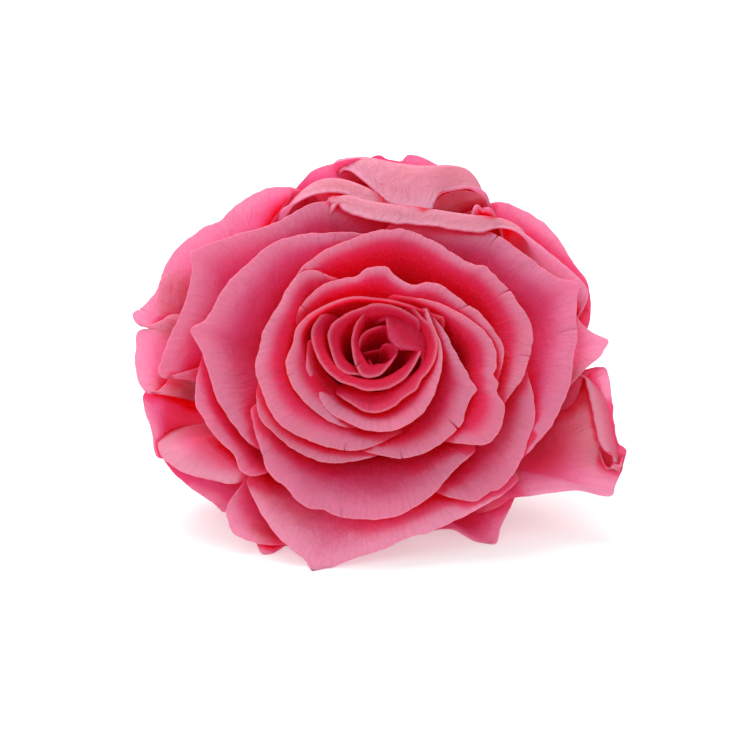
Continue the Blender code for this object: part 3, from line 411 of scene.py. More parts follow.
          ((-12, 17), (-18, 15), (-23.4, 11), (-26.8, 5.4), (-27.6, -0.6), (-25.4, -6.6)),
          (-14, -14.4, -15), (70, 50, 70), (5, 5)),
    Petal("guard_front", "outer",
          ((-14, -18.6), (-8, -23), (-1, -24.6), (6, -23.6), (12, -20.4), (16, -16)),
          (-13, -12.4, -13), (70, 50, 70), (5, 5)),
)

# Small folds that the bloom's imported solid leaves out: at its top the curled end of the folded petal and
# the knot of creases beside it, and on its right the rolled edge of a petal and the crumple at its end
FOLDS = (
    Petal("curl_top", "rolled",
          ((8, 18.8), (8.5, 20.2), (9.6, 21), (11.6, 21.5), (13.6, 21.4), (15, 20.7), (15.8, 19.4)),
          (-3.4, -4.4, -5.2, -6.2), (100, 85, 80, 95), (3, 3.5, 3)),
    Petal("knot_top", "rolled",
          ((13.3, 17.2), (13.6, 18.8), (14.2, 19.8), (15, 19), (15.9, 19.4), (16.8, 18), (17.4, 16.8)),
          (-1.7, -1.9, -2.6), (120, 100, 110), (1.5, 1.5)),
    Petal("edge_right", "curl",
          ((27.6, -3.9), (29.2, -4.4), (29.9, -6.4), (30.5, -9.2), (31, -12.2), (31.9, -14.6),
           (33.2, -15.4)),
          (-8.4, -8.8, -9.2, -9.6, -10.2), (150, 170, 180, 180, 150), (1.2, 1.9, 1.9, 1.6)),
    Petal("crumple_right", "curl",
          ((31.2, -14.6), (31.6, -16.2), (32.4, -17.4), (33.2, -16.6), (34, -17), (34.4, -15.6)),
          (-11.2, -10.8, -11), (120, 95, 130, 95), (1.5, 1.5)),
)


class Peak(NamedTuple):
    """A pointed corner of a petal's rim, where the onlooker sees it: how far it stands out and how far
    along the rim it reaches."""

    across: float
    up: float
    height: float
    reach: float


PEAKS = {
    "corner_left": (Peak(-25.5, 12.5, 0.8, 2.4),),
    "tip_left": (Peak(-25.2, 2.0, 0.7, 2.2),),
    "corner_right": (Peak(27.7, 8.3, 0.8, 2.2),),
    "slit_upper": (Peak(-33.9, 3.9, 0.5, 1.6),),
    "hook_right": (Peak(32.1, 0.5, 0.6, 1.5),),
    "roll_right": (Peak(34.5, -14.5, 0.6, 1.2), Peak(32.4, -20.6, 0.5, 1.5)),
    "front_tip": (Peak(-8.8, -32.1, 0.5, 1.6),),
    "cup_top": (Peak(16.5, 9.4, 0.4, 1.2),),
    "point_right": (Peak(13.5, -6.3, 0.6, 1.6),),
    "low_left": (Peak(-20.8, -23.6, 0.4, 1.2),),
    "under_fold": (Peak(-20.8, -23.2, 0.5, 1.2),),
}


class Crack(NamedTuple):
    """A tear in a petal's rim, where the onlooker sees it: how deep it is and how far it gapes."""

    across: float
    up: float
    depth: float
    gap: float


CRACKS = {
    "heart_side": (Crack(-12.2, -4.4, 0.9, 0.12),),
    "bottom_lip": (Crack(-15.7, -15.4, 1.2, 0.12), Crack(-4.4, -24.2, 0.8, 0.1)),
    "roll_right": (Crack(33.9, -13.9, 1.6, 0.3),),
    "slit_upper": (Crack(-33.0, 5.0, 1.0, 0.15),),
    "eye_cup": (Crack(-1.8, -2.5, 0.9, 0.12),),
    "eye_hood": (Crack(2.2, 3.6, 1.2, 0.15),),
    "wave_top": (Crack(-10.5, 5.3, 1.2, 0.15), Crack(12.6, 5.7, 1.3, 0.25)),
    "cup_left": (Crack(-7.6, 9.2, 1.4, 0.12), Crack(-4.5, -14.7, 1.0, 0.12)),
    "point_right": (Crack(11.4, -11.8, 1.7, 0.35), Crack(3.4, -15.8, 1.0, 0.15)),
    "cup_top": (Crack(18.5, 7.8, 1.5, 0.3), Crack(21.6, -1.7, 1.2, 0.15)),
    "corner_right": (Crack(16.8, 15.3, 1.6, 0.2), Crack(28.1, 2.2, 2.6, 0.12)),
}


def linear(hex_colour):
    """An sRGB hex colour as the linear numbers that a shader takes."""
    values = [int(hex_colour[i:i + 2], 16) / 255 for i in (1, 3, 5)]
    return [v / 12.92 if v <= 0.04045 else ((v + 0.055) / 1.055) ** 2.4 for v in values]


def along(values, share):
    """The place at a share from 0 to 1 of a smooth line through evenly spread values."""
    last = len(values) - 1
    place = min(max(share, 0.0), 1.0) * last
    i = min(int(place), last - 1)
    t = place - i
    a, b = values[i], values[i + 1]
    before = values[i - 1] if i else a + (a - b)
    after = values[i + 2] if i + 2 <= last else b + (b - a)
    slope_a, slope_b = (b - before) * 0.5, (after - a) * 0.5
    rise = b - a
    return a + (slope_a + (rise * 3 - slope_a * 2 - slope_b + (slope_a + slope_b - rise * 2) * t) * t) * t


def outward(angle):
    return Vector((math.cos(angle), math.sin(angle), 0))


def placed(across, up, height):
    """The point, on the bloom's own axes, that the onlooker sees there and that stands at this height."""
    onlooker = SIGHT * VIEW_DISTANCE
    aim = Vector((across, 0, 0)) + PICTURE_UP * up
    share = (height - onlooker.z) / (aim.z - onlooker.z)
    return onlooker.lerp(aim, share)


def wave_at(size, place, seed):
    """The height of a wave of this (height, length) at a place along it."""
    height, length = size
    return height * noise.noise(Vector((place / length, seed * SEED_STEP, OFF_GRID)))


class Blade:
    """The surface of one petal. It is read at a share along its rim, from side to side, and at a share
    of the way up from its claw."""

    def __init__(self, petal, order):
        self.petal = petal
        self.layer = LAYERS[petal.layer]
        self.seed = order + 1
        self.centre = Vector((*petal.centre, 0))
        share = min(order / (len(PETALS) - 1), 1)
        self.root = [a + (b - a) * share for a, b in zip(FIRST_ROOT, LAST_ROOT)]
        self.trace_rim()
        self.add_tails()
        self.make_curves()
        self.peaks = [(self.share_seen(peak.across, peak.up) * self.rim_length, peak.height, peak.reach)
                      for peak in PEAKS.get(petal.name, ())]

    def turn_of(self, point):
        """How far round the petal's centre a point is."""
        return math.atan2(point.y - self.centre.y, point.x - self.centre.x)

    def trace_rim(self):
        """Reads the rim at even steps: where it is seen, where it stands and how its lip leans."""
        seen = [Vector(point) for point in self.petal.rim]
        fine = RIM_STEPS * (len(seen) - 1)
        line = [along(seen, i / fine) for i in range(fine + 1)]
        lengths = [0.0]
        for a, b in zip(line, line[1:]):
            lengths.append(lengths[-1] + (b - a).length)
        self.length = lengths[-1]
        steps = max(FEWEST_STATIONS, round(self.length / STATION))
        self.seen, self.rim, self.lean, self.lip = [], [], [], []
        i = 1
        for step in range(steps + 1):
            share = step / steps
            while i < len(lengths) - 1 and lengths[i] < share * self.length:
                i += 1
            t = (share * self.length - lengths[i - 1]) / (lengths[i] - lengths[i - 1])
            flat = line[i - 1].lerp(line[i], t)
            self.seen.append(flat)
            self.rim.append(placed(flat.x, flat.y, along(self.petal.heights, share)))
            self.lean.append(math.radians(along(self.petal.lean, share)))
            self.lip.append(along(self.petal.lip, share))

    def add_tails(self):
        """Carries both ends of the rim on round the bloom, sinking and drawn in under the next petals."""
        tail_turn, tail_drop, drawn_in = self.layer.tail
        self.tails = []
        for end in (0, -1):
            near, inner = self.rim[end], self.rim[TAIL_AIM if end == 0 else -1 - TAIL_AIM]
            angle = self.turn_of(near)
            way = math.remainder(angle - self.turn_of(inner), math.tau)
            turn = math.copysign(math.radians(tail_turn), way)
            reach = (near - self.centre).to_2d().length
            count = max(FEWEST_TAIL_STATIONS, round(reach * abs(turn) / STATION))
            self.tails.append(count)
            for k in range(1, count + 1):
                t = k / count
                point = self.centre + outward(angle + turn * t) * reach * (1 - drawn_in * t ** TAIL_EASE)
                point.z = near.z - tail_drop * t ** TAIL_EASE
                place = 0 if end == 0 else len(self.rim)
                self.rim.insert(place, point)
                self.lean.insert(place, self.lean[end])
                self.lip.insert(place, self.lip[end])

    def make_curves(self):
        """One curve for each station, from the claw through the belly and the lip's foot to the rim."""
        layer = self.layer
        reach_over = round(EVEN_OUT / STATION)
        last = len(self.rim) - 1
        self.rim_length = last * STATION
        even = []
        for i in range(last + 1):
            side = min(reach_over, i, last - i)
            near = self.rim[i - side:i + side + 1]
            even.append(sum(near, Vector()) / len(near))
        angles = []
        for point in even:
            angle = self.turn_of(point)
            if angles:
                angle += math.tau * round((angles[-1] - angle) / math.tau)
            angles.append(angle)
        middle = (min(angles) + max(angles)) / 2
        root_radius, root_height = self.root
        self.curves = []
        for rim, smooth, angle, lean, long in zip(self.rim, even, angles, self.lean, self.lip):
            reach = (smooth - self.centre).to_2d().length
            claw = middle + (angle - middle) * layer.claw
            side = middle + (angle - middle) * (1 + layer.claw) / 2
            root = self.centre + outward(claw) * root_radius + Vector((0, 0, root_height))
            belly = self.centre + outward(side) * (root_radius + (reach - root_radius) * layer.belly)
            belly.z = root_height + layer.belly_rise
            lip = outward(angle) * math.cos(lean) + Vector((0, 0, math.sin(lean)))
            back = outward(angle) * math.sin(lean) - Vector((0, 0, math.cos(lean)))
            foot = smooth - lip * long
            bend = foot - lip * layer.bend
            end = rim - lip * layer.turned
            side = (belly - root).length + (bend - belly).length + layer.bend
            self.curves.append((root, belly, bend, foot, end, lip, back, Vector((side, long, 0))))

    def curve_at(self, share):
        place = min(max(share, 0.0), 1.0) * (len(self.curves) - 1)
        i = min(int(place), len(self.curves) - 2)
        t = place - i
        return [a.lerp(b, t) for a, b in zip(self.curves[i], self.curves[i + 1])]

    def share_seen(self, across, up):
        """The share along the rim of the place that the onlooker sees there."""
        wanted = Vector((across, up))
        nearest = min(range(len(self.seen)), key=lambda i: (self.seen[i] - wanted).length)
        return (nearest + self.tails[0]) / (len(self.curves) - 1)

    def below_rim(self, share, rise):
        """How far below the rim, along the blade, a place is."""
        side, lip, _ = self.curve_at(share)[7]
        t = min(rise, 1.0)
        if t > LIP_START:
            return lip * (1 - t) / (1 - LIP_START)
        return lip + side * (1 - t / LIP_START)

    def point(self, share, rise):
        """rise is 0 at the claw, 1 at the top of the lip, and up to 2 at the end of the turned edge."""
        root, belly, bend, foot, end, lip, back, _ = self.curve_at(share)
        near_end = min(share, 1 - share) * self.rim_length / SHOULDER_WIDTH
        top = 1 - (1 - SHOULDER) * max(0.0, 1 - near_end) ** 2
        t = min(rise, 1.0) * top
        if t > LIP_START:
            place = foot.lerp(end, (t - LIP_START) / (1 - LIP_START))
        else:
            v = t / LIP_START
            u = 1 - v
            place = root * u ** 3 + belly * (3 * v * u * u) + bend * (3 * v * v * u) + foot * v ** 3
        run = share * self.rim_length
        below = self.below_rim(share, t)
        arch, arch_below = self.layer.crown
        crown = arch * below / arch_below * math.exp(1 - below / arch_below)
        wave = wave_at(SLOW_WAVE, run, self.seed) + wave_at(FINE_WAVE, run, self.seed + FINE_SEED)
        wave *= self.layer.wave * math.exp(-below / WAVE_FADE)
        offset = Vector((self.seed * CRUMPLE_STEP, 0, 0))
        crumple = sum(height * noise.noise(place / length + offset) for height, length in CRUMPLES)
        crumple *= self.layer.wave * (CRUMPLED_CLAW + (1 - CRUMPLED_CLAW) * t)
        place += back * (wave - crown + crumple)
        ragged = wave_at(RAGGED, run, self.seed + RAGGED_SEED)
        place += lip * (ragged * math.exp(-below / RAGGED_FADE))
        for start, height, wide in self.peaks:
            peak = height * max(0.0, 1 - abs(run - start) / wide) ** PEAK_POWER
            place += lip * (peak * math.exp(-below / PEAK_FADE))
        if rise > 1:
            turn = EDGE_TURN * (rise - 1)
            place += (lip * math.sin(turn) + back * (1 - math.cos(turn))) * self.layer.turned
        return place

    def inward_sign(self, normal):
        """1 where a normal at the middle of the lip looks to the inner side of the petal, -1 where not."""
        return -math.copysign(1, normal.dot(self.curve_at(0.5)[6]))

    def cover_at(self, share, rise):
        """How covered the place is, on the inner and on the outer side."""
        steps, rises = COVER_STEPS
        x, y = share * steps, min(rise, 1) * rises
        i, j = min(int(x), steps - 1), min(int(y), rises - 1)
        near = self.cover[i, j].lerp(self.cover[i + 1, j], x - i)
        far = self.cover[i, j + 1].lerp(self.cover[i + 1, j + 1], x - i)
        return near.lerp(far, y - j)


def soft_rays(count):
    """Directions over a half sphere round +Z, closer together towards its top, as soft light falls."""
    golden = math.pi * (3 - math.sqrt(5))
    rays = []
    for k in range(count):
        radius = math.sqrt((k + 0.5) / count)
        rays.append(outward(golden * k) * radius + Vector((0, 0, math.sqrt(1 - radius * radius))))
    return rays


def read_cover(blades):
    """Gives each blade the share of soft light that the petals near it keep off, on both its sides."""
    steps, rises = COVER_STEPS
    bm = bmesh.new()
    for blade in blades:
        grid = bmesh.ops.create_grid(bm, x_segments=steps, y_segments=rises, size=0.5,
                                     matrix=Matrix.Translation((0.5, 0.5, 0)))
        blade.cover = {}
        for vert in grid["verts"]:
            share, rise = vert.co.xy
            blade.cover[round(share * steps), round(rise * rises)] = vert
            vert.co = blade.point(share, rise)
    bm.normal_update()
    shelter = BVHTree.FromBMesh(bm)
    rays = soft_rays(COVER_RAYS)
    for blade in blades:
        sign = blade.inward_sign(blade.cover[steps // 2, rises - 2].normal)
        for key, vert in blade.cover.items():
            sides = []
            for normal in (vert.normal * sign, vert.normal * -sign):
                turn = normal.to_track_quat("Z", "Y")
                kept_off = 0.0
                for ray in rays:
                    hit = shelter.ray_cast(vert.co + normal * COVER_START, turn @ ray, COVER_REACH)
                    if hit[0]:
                        kept_off += 1 - hit[3] / COVER_REACH
                sides.append(kept_off / COVER_RAYS)
            blade.cover[key] = Vector((*sides, 0))
    bm.free()


BLADES = {}


def blade_named(name):
    """The blade of one petal. The first call shapes them all, because each one covers its neighbours."""
    if not BLADES:
        for order, petal in enumerate(PETALS + FOLDS):
            BLADES[petal.name] = Blade(petal, order)
        read_cover(BLADES.values())
    return BLADES[name]


def petal_blade(petal, settings):
    """One petal as a thin closed blade. Its UV map is in millimetres: across along the rim, and up as
    the distance below the rim, so that veins and the pale cut of the rim have their real sizes."""
    blade = blade_named(petal.name)
    columns = max(FEWEST_COLUMNS, round(blade.rim_length * MM / settings.column_width))
    rows = BODY_ROWS + EDGE_ROWS
    bm = bmesh.new()
    uv = bm.loops.layers.uv.new("petal")
    cover = bm.verts.layers.float_vector.new("cover")
    inward = bm.verts.layers.float_vector.new("inward")
    to_share = Matrix.Translation((0.5, 0.5, 0))
    bmesh.ops.create_grid(bm, x_segments=columns, y_segments=rows, size=0.5, matrix=to_share)
    tear_rim(bm, blade, columns, rows)
    shares = {}
    for vert in bm.verts:
        row = vert.co.y * rows
        if row <= BODY_ROWS:
            rise = (row / BODY_ROWS) ** ROW_EASE
        else:
            rise = 1 + (row - BODY_ROWS) / EDGE_ROWS
        shares[vert] = (vert.co.x, rise)
    for vert, (share, rise) in shares.items():
        vert.co = EYE @ blade.point(share, rise)
        vert.co.z = resting(vert.co.z, settings.thickness / MM)
    bmesh.ops.recalc_face_normals(bm, faces=bm.faces)
    bm.normal_update()
    middle = min(shares, key=lambda v: abs(shares[v][0] - 0.5) + abs(shares[v][1] - LIP_MIDDLE))
    sign = blade.inward_sign(EYE.to_3x3().inverted() @ middle.normal)
    # Each vertex keeps the cover of both its sides and its height, for the shade that the material paints
    for vert, (share, rise) in shares.items():
        vert[cover] = blade.cover_at(share, rise) + Vector((0, 0, min(rise, 1)))
        vert[inward] = vert.normal * sign
    turned = blade.layer.turned * EDGE_TURN
    for face in bm.faces:
        for loop in face.loops:
            share, rise = shares[loop.vert]
            below = blade.below_rim(share, rise) + turned * (1 - max(rise - 1, 0))
            loop[uv].uv = (share * blade.rim_length, below)
    piece = add_piece("petal_" + petal.name, bm, blade.layer.finish)
    add_thickness(piece, settings.thickness)
    return piece


def resting(height, thickness):
    """The height of a blade's middle, kept just above the ground by a soft step."""
    lowest = REST_GAP + thickness / 2
    above = height - lowest
    return lowest + (above + math.sqrt(above * above + REST_SOFTNESS)) / 2


def tear_rim(bm, blade, columns, rows):
    """Splits the rim's edges along a column for each crack, and draws the two sides apart. What is torn
    reaches down to half a row below the crack's end."""
    for crack in CRACKS.get(blade.petal.name, ()):
        column = round(blade.share_seen(crack.across, crack.up) * columns)
        share = column / columns
        lip_length = blade.below_rim(share, LIP_START)
        deep = 1 - (1 - LIP_START) * crack.depth / lip_length
        deep = deep ** (1 / ROW_EASE) * BODY_ROWS / rows
        beside, lowest = 0.01 / columns, deep - 0.5 / rows
        torn = [e for e in bm.edges
                if all(abs(v.co.x - share) < beside and v.co.y > lowest for v in e.verts)]
        bmesh.ops.split_edges(bm, edges=torn)
        for vert in bm.verts:
            if abs(vert.co.x - share) < beside and vert.co.y > deep:
                middle = sum(f.calc_center_median().x for f in vert.link_faces) / len(vert.link_faces)
                opened = crack.gap / 2 / blade.length * (vert.co.y - deep) / (1 - deep)
                vert.co.x += math.copysign(opened, middle - share)


def add_piece(name, bm, finish):
    """A shape in millimetres made into a smooth piece that rides on the head, in its own finish."""
    bmesh.ops.scale(bm, vec=(MM, MM, MM), verts=bm.verts)
    mesh = bpy.data.meshes.new(name)
    bm.to_mesh(mesh)
    bm.free()
    mesh.shade_smooth()
    piece = bpy.data.objects.new(name, mesh)
    bpy.context.scene.collection.objects.link(piece)
    mesh.materials.append(preserved_sepal() if finish == "sepal" else preserved_petal(finish))
    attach(piece, "root")
    return piece


def add_thickness(piece, thickness):
    """Gives a blade its thickness, half to each side, and closes its edges."""
    shell = piece.modifiers.new("thickness", "SOLIDIFY")
    shell.thickness = thickness
    shell.offset = 0


def add_node(tree, kind, settings=None, places=None, **inputs):
    """Adds a node. An input, by its place or its name, is a link where its value is a socket or a node,
    which stands for its first live output. Any other value is set on the input itself."""
    node = tree.nodes.new("ShaderNode" + kind)
    for name, value in (settings or {}).items():
        setattr(node, name, value)
    named = {name.replace("_", " "): value for name, value in inputs.items()}
    for key, value in {**(places or {}), **named}.items():
        if isinstance(value, bpy.types.Node):
            value = next(output for output in value.outputs if output.enabled)
        if isinstance(value, bpy.types.NodeSocket):
            tree.links.new(value, node.inputs[key])
        else:
            node.inputs[key].default_value = value
    return node


def new_material(name):
    material = bpy.data.materials.new(name)
    material.use_nodes = True
    material.node_tree.nodes.clear()
    return material, material.node_tree


SMOOTH_STEP = {"interpolation_type": "SMOOTHSTEP"}
LARGER = {"operation": "MAXIMUM"}
COLOURS = {"data_type": "RGBA"}
PALE_EDGE = "#FFBCD0"

# Each finish of the petals: the settings with its body's and its lip's colour, how far down its height a
# petal gets the body's colour, and how strongly the painted shade down its side shows
PETAL_FINISHES = {
    "eye": ("eye_colour", "eye_lip_colour", 0.2, 1.0),
    "heart": ("heart_colour", "lip_colour", 0.35, 1.0),
    "cup": ("cup_colour", "lip_colour", 0.35, 1.0),
    "wide": ("wide_colour", "lip_colour", 0.3, 0.8),
    "outer": ("outer_colour", "outer_lip_colour", 0.6, 0.45),
    "rolled": ("rolled_colour", "outer_lip_colour", 0.98, 0.1),
}

# The pale colour holds down to this share of a petal's height. Painted shade down the side shows on a
# petal's inner side in full and on its outer side by this share, and turns from one to the other where the
# two sides meet.
PALE_TOP = 0.98
OUTER_SHADE = 0.3
SIDE_BLEND = 0.2

# Shares: of the cloudy dye, of the veins' colour and of the light that a petal lets through
CLOUDED = 0.18
VEINED = 0.06
LET_THROUGH = 0.55


def preserved_petal(part):
    """A dyed petal kept soft with glycerine: matte, velvety and thin enough to let light through. Its
    rim is paler than its body, fine veins fan out to the rim, and it has no gloss. Painted shade is laid
    into
    its colour: rosy down its inner side and where other petals come near, and deep red in the gaps."""
    name = "preserved_petal_" + part
    if name in bpy.data.materials:
        return bpy.data.materials[name]
    settings = bpy.context.scene.rose_petals
    body_setting, lip_setting, fade, depth = PETAL_FINISHES[part]
    body, lip = getattr(settings, body_setting), getattr(settings, lip_setting)
    material, tree = new_material(name)
    uv = add_node(tree, "UVMap", {"uv_map": "petal"})
    place = add_node(tree, "TexCoord").outputs["Object"]
    from_rim = add_node(tree, "SeparateXYZ", Vector=uv).outputs["Y"]

    # Veins about 1 mm apart that run up the petal: long thin cells in the petal's own millimetres
    bend = add_node(tree, "TexNoise", {"noise_dimensions": "2D"}, Vector=uv, Scale=0.35, Detail=2.0)
    bent = add_node(tree, "VectorMath", {"operation": "MULTIPLY_ADD"},
                    {0: bend.outputs["Color"], 1: (1.6, 1.6, 0), 2: uv})
    stretched = add_node(tree, "Mapping", Vector=bent, Scale=(1.0, 0.2, 1.0))
    veins = add_node(tree, "TexVoronoi", {"voronoi_dimensions": "2D", "feature": "DISTANCE_TO_EDGE"},
                     Vector=stretched, Scale=1.0)
    vein = add_node(tree, "MapRange", Value=veins, From_Max=0.12, To_Min=1.0, To_Max=0.0)

    # Cloudy dye, over about 6 mm
    cloud = add_node(tree, "TexNoise", Vector=place, Scale=160.0, Detail=3.0)

    # Each side of a petal has its own cover. The attribute holds the inner side's, the outer side's and
    # the height up the petal, and the side that is seen comes from the stored inward direction.
    cover = add_node(tree, "Attribute", {"attribute_name": "cover"})
    inward = add_node(tree, "Attribute", {"attribute_name": "inward"})
    surface = add_node(tree, "NewGeometry")
    facing = add_node(tree, "VectorMath", {"operation": "DOT_PRODUCT"},
                      {0: surface.outputs["Normal"], 1: inward.outputs["Vector"]})
    sides = add_node(tree, "SeparateXYZ", Vector=cover.outputs["Vector"])
    height = sides.outputs["Z"]
    # Cover of the side that is seen, which sets the painted shade below
    covered = add_node(tree, "MapRange", Value=facing, From_Min=-SIDE_BLEND, From_Max=SIDE_BLEND,
                       To_Min=sides.outputs["Y"], To_Max=sides.outputs["X"])

    # The colour is pale along the rim and fuller down the lip. Painted shade lies over it: rosy on the
    # inner side below the lip and where other petals come near, and deep red at the bottom of the gaps.
    to_body = add_node(tree, "MapRange", SMOOTH_STEP, Value=height, From_Min=PALE_TOP,
                       From_Max=PALE_TOP - fade)
    # Painted shade shows in full on a petal's inner side and by a share on its outer side.
    inner = add_node(tree, "MapRange", Value=facing, From_Min=-SIDE_BLEND, From_Max=SIDE_BLEND,
                     To_Min=OUTER_SHADE * depth, To_Max=depth)
    # Painted shade down the inner side below the lip, by the height up the petal
    sunk = add_node(tree, "MapRange", SMOOTH_STEP, Value=height, From_Min=0.86, From_Max=0.48,
                    To_Max=inner)
    # Painted shade where other petals come near and keep light off
    near_gap = add_node(tree, "MapRange", SMOOTH_STEP, Value=covered, From_Min=0.04, From_Max=0.28,
                        To_Max=0.85)
    to_rosy_shade = add_node(tree, "Math", LARGER, {0: sunk, 1: near_gap})
    below_rim = add_node(tree, "MapRange", Value=height, From_Min=1.0, From_Max=0.8)
    # Painted shade at the bottom of the gaps, held back along the rim itself
    in_gap = add_node(tree, "MapRange", SMOOTH_STEP, Value=covered, From_Min=0.22, From_Max=0.5,
                      To_Max=below_rim)
    # Painted shade deep down the inner wall, by the height up the petal
    wall = add_node(tree, "MapRange", SMOOTH_STEP, Value=height, From_Min=0.66, From_Max=0.34,
                    To_Max=inner)
    to_deep_shade = add_node(tree, "Math", LARGER, {0: in_gap, 1: wall})
    upper = add_node(tree, "Mix", COLOURS, Factor=to_body, A=(*lip, 1), B=(*body, 1))
    rosy_shaded = add_node(tree, "Mix", COLOURS, Factor=to_rosy_shade, A=upper, B=(*settings.rosy_shade_colour, 1))
    # The colour with the painted shade laid over it
    dyed = add_node(tree, "Mix", COLOURS, Factor=to_deep_shade, A=rosy_shaded, B=(*settings.deep_shade_colour, 1))

    # The cut of the rim shows as a thin pale line. Where other petals cover the rim, the line fades out
    # into the painted shade of the gaps.
    open_share = add_node(tree, "MapRange", Value=covered, From_Max=0.3, To_Min=0.4, To_Max=0.0)
    edge = add_node(tree, "MapRange", Value=from_rim, From_Min=0.1, From_Max=0.3, To_Min=open_share,
                    To_Max=0.0)
    edged = add_node(tree, "Mix", COLOURS, Factor=edge, A=dyed, B=(*linear(PALE_EDGE), 1))
    clouded = add_node(tree, "Mix", {"data_type": "RGBA", "blend_type": "MULTIPLY"}, Factor=CLOUDED,
                       A=edged, B=cloud)
    vein_share = add_node(tree, "Math", {"operation": "MULTIPLY"}, {0: vein, 1: VEINED})
    veined = add_node(tree, "Mix", COLOURS, Factor=vein_share, A=clouded, B=(*lip, 1))

    # Nap of about 0.2 mm and the slight unevenness of a petal that was dried and filled again
    nap = add_node(tree, "TexNoise", Vector=place, Scale=5000.0, Detail=2.0)
    crease = add_node(tree, "TexNoise", Vector=place, Scale=450.0, Detail=4.0)
    creased = add_node(tree, "Bump", Height=crease, Strength=0.8, Distance=0.0006)
    ribbed = add_node(tree, "Bump", Height=vein, Normal=creased, Strength=0.45, Distance=0.0002)
    velvet = add_node(tree, "Bump", Height=nap, Normal=ribbed, Strength=0.2, Distance=0.00005)

    skin = add_node(tree, "BsdfPrincipled", Base_Color=veined, Normal=velvet, Roughness=0.72,
                    Specular_IOR_Level=0.25, Sheen_Weight=0.05, Sheen_Roughness=0.5, Sheen_Tint=(*lip, 1))
    glow = [value / max(body) for value in body]
    # The light let through takes the deep painted shade in the gaps too
    let_through = add_node(tree, "Mix", COLOURS, Factor=to_deep_shade, A=(*glow, 1),
                           B=(*settings.deep_shade_colour, 1))
    through = add_node(tree, "BsdfTranslucent", Color=let_through)
    mixed = add_node(tree, "MixShader", None, {1: skin, 2: through}, Fac=LET_THROUGH)
    add_node(tree, "OutputMaterial", Surface=mixed)
    return material


def preserved_sepal():
    """A dyed and dried sepal or hip: matte and fibrous, with darker blotches."""
    name = "preserved_sepal"
    if name in bpy.data.materials:
        return bpy.data.materials[name]
    settings = bpy.context.scene.rose_calyx
    material, tree = new_material(name)
    place = add_node(tree, "TexCoord").outputs["Object"]
    # Blotches over about 3 mm, and fibres about 0.4 mm apart
    blotch = add_node(tree, "TexNoise", Vector=place, Scale=350.0, Detail=4.0)
    share = add_node(tree, "MapRange", Value=blotch, From_Min=0.3, From_Max=0.7)
    colour = add_node(tree, "Mix", COLOURS, Factor=share, A=(*settings.dark, 1), B=(*settings.colour, 1))
    fibre = add_node(tree, "TexNoise", Vector=place, Scale=2500.0, Detail=3.0)
    bump = add_node(tree, "Bump", Height=fibre, Strength=0.4, Distance=0.0001)
    skin = add_node(tree, "BsdfPrincipled", Base_Color=colour, Normal=bump, Roughness=0.7,
                    Specular_IOR_Level=0.3)
    add_node(tree, "OutputMaterial", Surface=skin)
    return material


def colour_setting(name, description, hex_colour):
    return FloatVectorProperty(name=name, description=description, subtype="COLOR",
                               default=linear(hex_colour))


class RosePetalSettings(bpy.types.PropertyGroup):
    """Sizes and colours of the petals"""

    thickness: FloatProperty(name="Thickness", description="Thickness of a petal's blade",
                             default=0.0003, min=0.0001, unit="LENGTH", precision=5)
    column_width: FloatProperty(name="Column width", description="Width of one face along a petal's rim",
                                default=0.0005, min=0.0001, unit="LENGTH", precision=5)
    eye_colour: colour_setting("Eye", "Colour of the innermost petals", "#E62A58")
    eye_lip_colour: colour_setting("Eye lip", "Colour of the innermost rims", "#E65486")
    heart_colour: colour_setting("Heart", "Colour of the petals round the eye", "#EE346E")
    cup_colour: colour_setting("Cup", "Colour of the petals of the cup", "#EE4480")
    wide_colour: colour_setting("Wide", "Colour of the wide petals round the cup", "#E866A0")
    outer_colour: colour_setting("Outer", "Colour of the outer petals", "#F894C2")
    rolled_colour: colour_setting("Rolled", "Colour of the rolled and folded petals", "#FFC0DE")
    lip_colour: colour_setting("Lip", "Colour of the pale rims", "#F2A8CE")
    outer_lip_colour: colour_setting("Outer lip", "Colour of the outermost rims", "#FFC8E2")
    # Painted shade: the rosy colour that a petal's side and the places near other petals are shaded to
    rosy_shade_colour: colour_setting("Rosy", "Colour of a petal's side below its lip", "#F4225E")
    # Painted shade: the deep red that the bottoms of the gaps are shaded to
    deep_shade_colour: colour_setting("Deep", "Colour of the covered part of a petal", "#F6002C")


class RoseCalyxSettings(bpy.types.PropertyGroup):
    """Sizes and colours of the calyx"""

    sides: IntProperty(name="Sides", description="Faces round the hip", default=48, min=12)
    colour: colour_setting("Colour", "Colour of the sepals and the hip", "#7E8A4C")
    dark: colour_setting("Blotches", "Colour of the darker blotches", "#55602F")


class RoseStageSettings(bpy.types.PropertyGroup):
    """Floor, lights and camera"""

    surround: FloatProperty(name="Surround", description="Strength of the white surround",
                            default=0.8, min=0)
    key_power: FloatProperty(name="Key", description="Power of the lamp above the head", default=4.0,
                             min=0, unit="POWER")
    fill_power: FloatProperty(name="Fill", description="Power of the lamp in front", default=1.0,
                              min=0, unit="POWER")
    floor_colour: colour_setting("Floor", "Colour of the paper floor", "#DADADA")
    floor_light: FloatProperty(name="Floor light", description="Light that comes up through the floor",
                               default=0.4, min=0)


class PetalOperator:
    """Builds the petals of the layers that a subclass names"""

    bl_options = {"REGISTER", "UNDO"}

    def execute(self, context):
        settings = context.scene.rose_petals
        for petal in PETALS + FOLDS:
            if petal.layer in self.layers:
                piece = petal_blade(petal, settings)
                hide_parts("bloom")
        return {"FINISHED"}


class ROSE_OT_heart_petals(PetalOperator, bpy.types.Operator):
    """Build the petals round the eye and the heart of the bloom"""

    bl_idname = "rose.heart_petals"
    bl_label = "Heart petals"
    layers = ("eye", "ring", "heart")


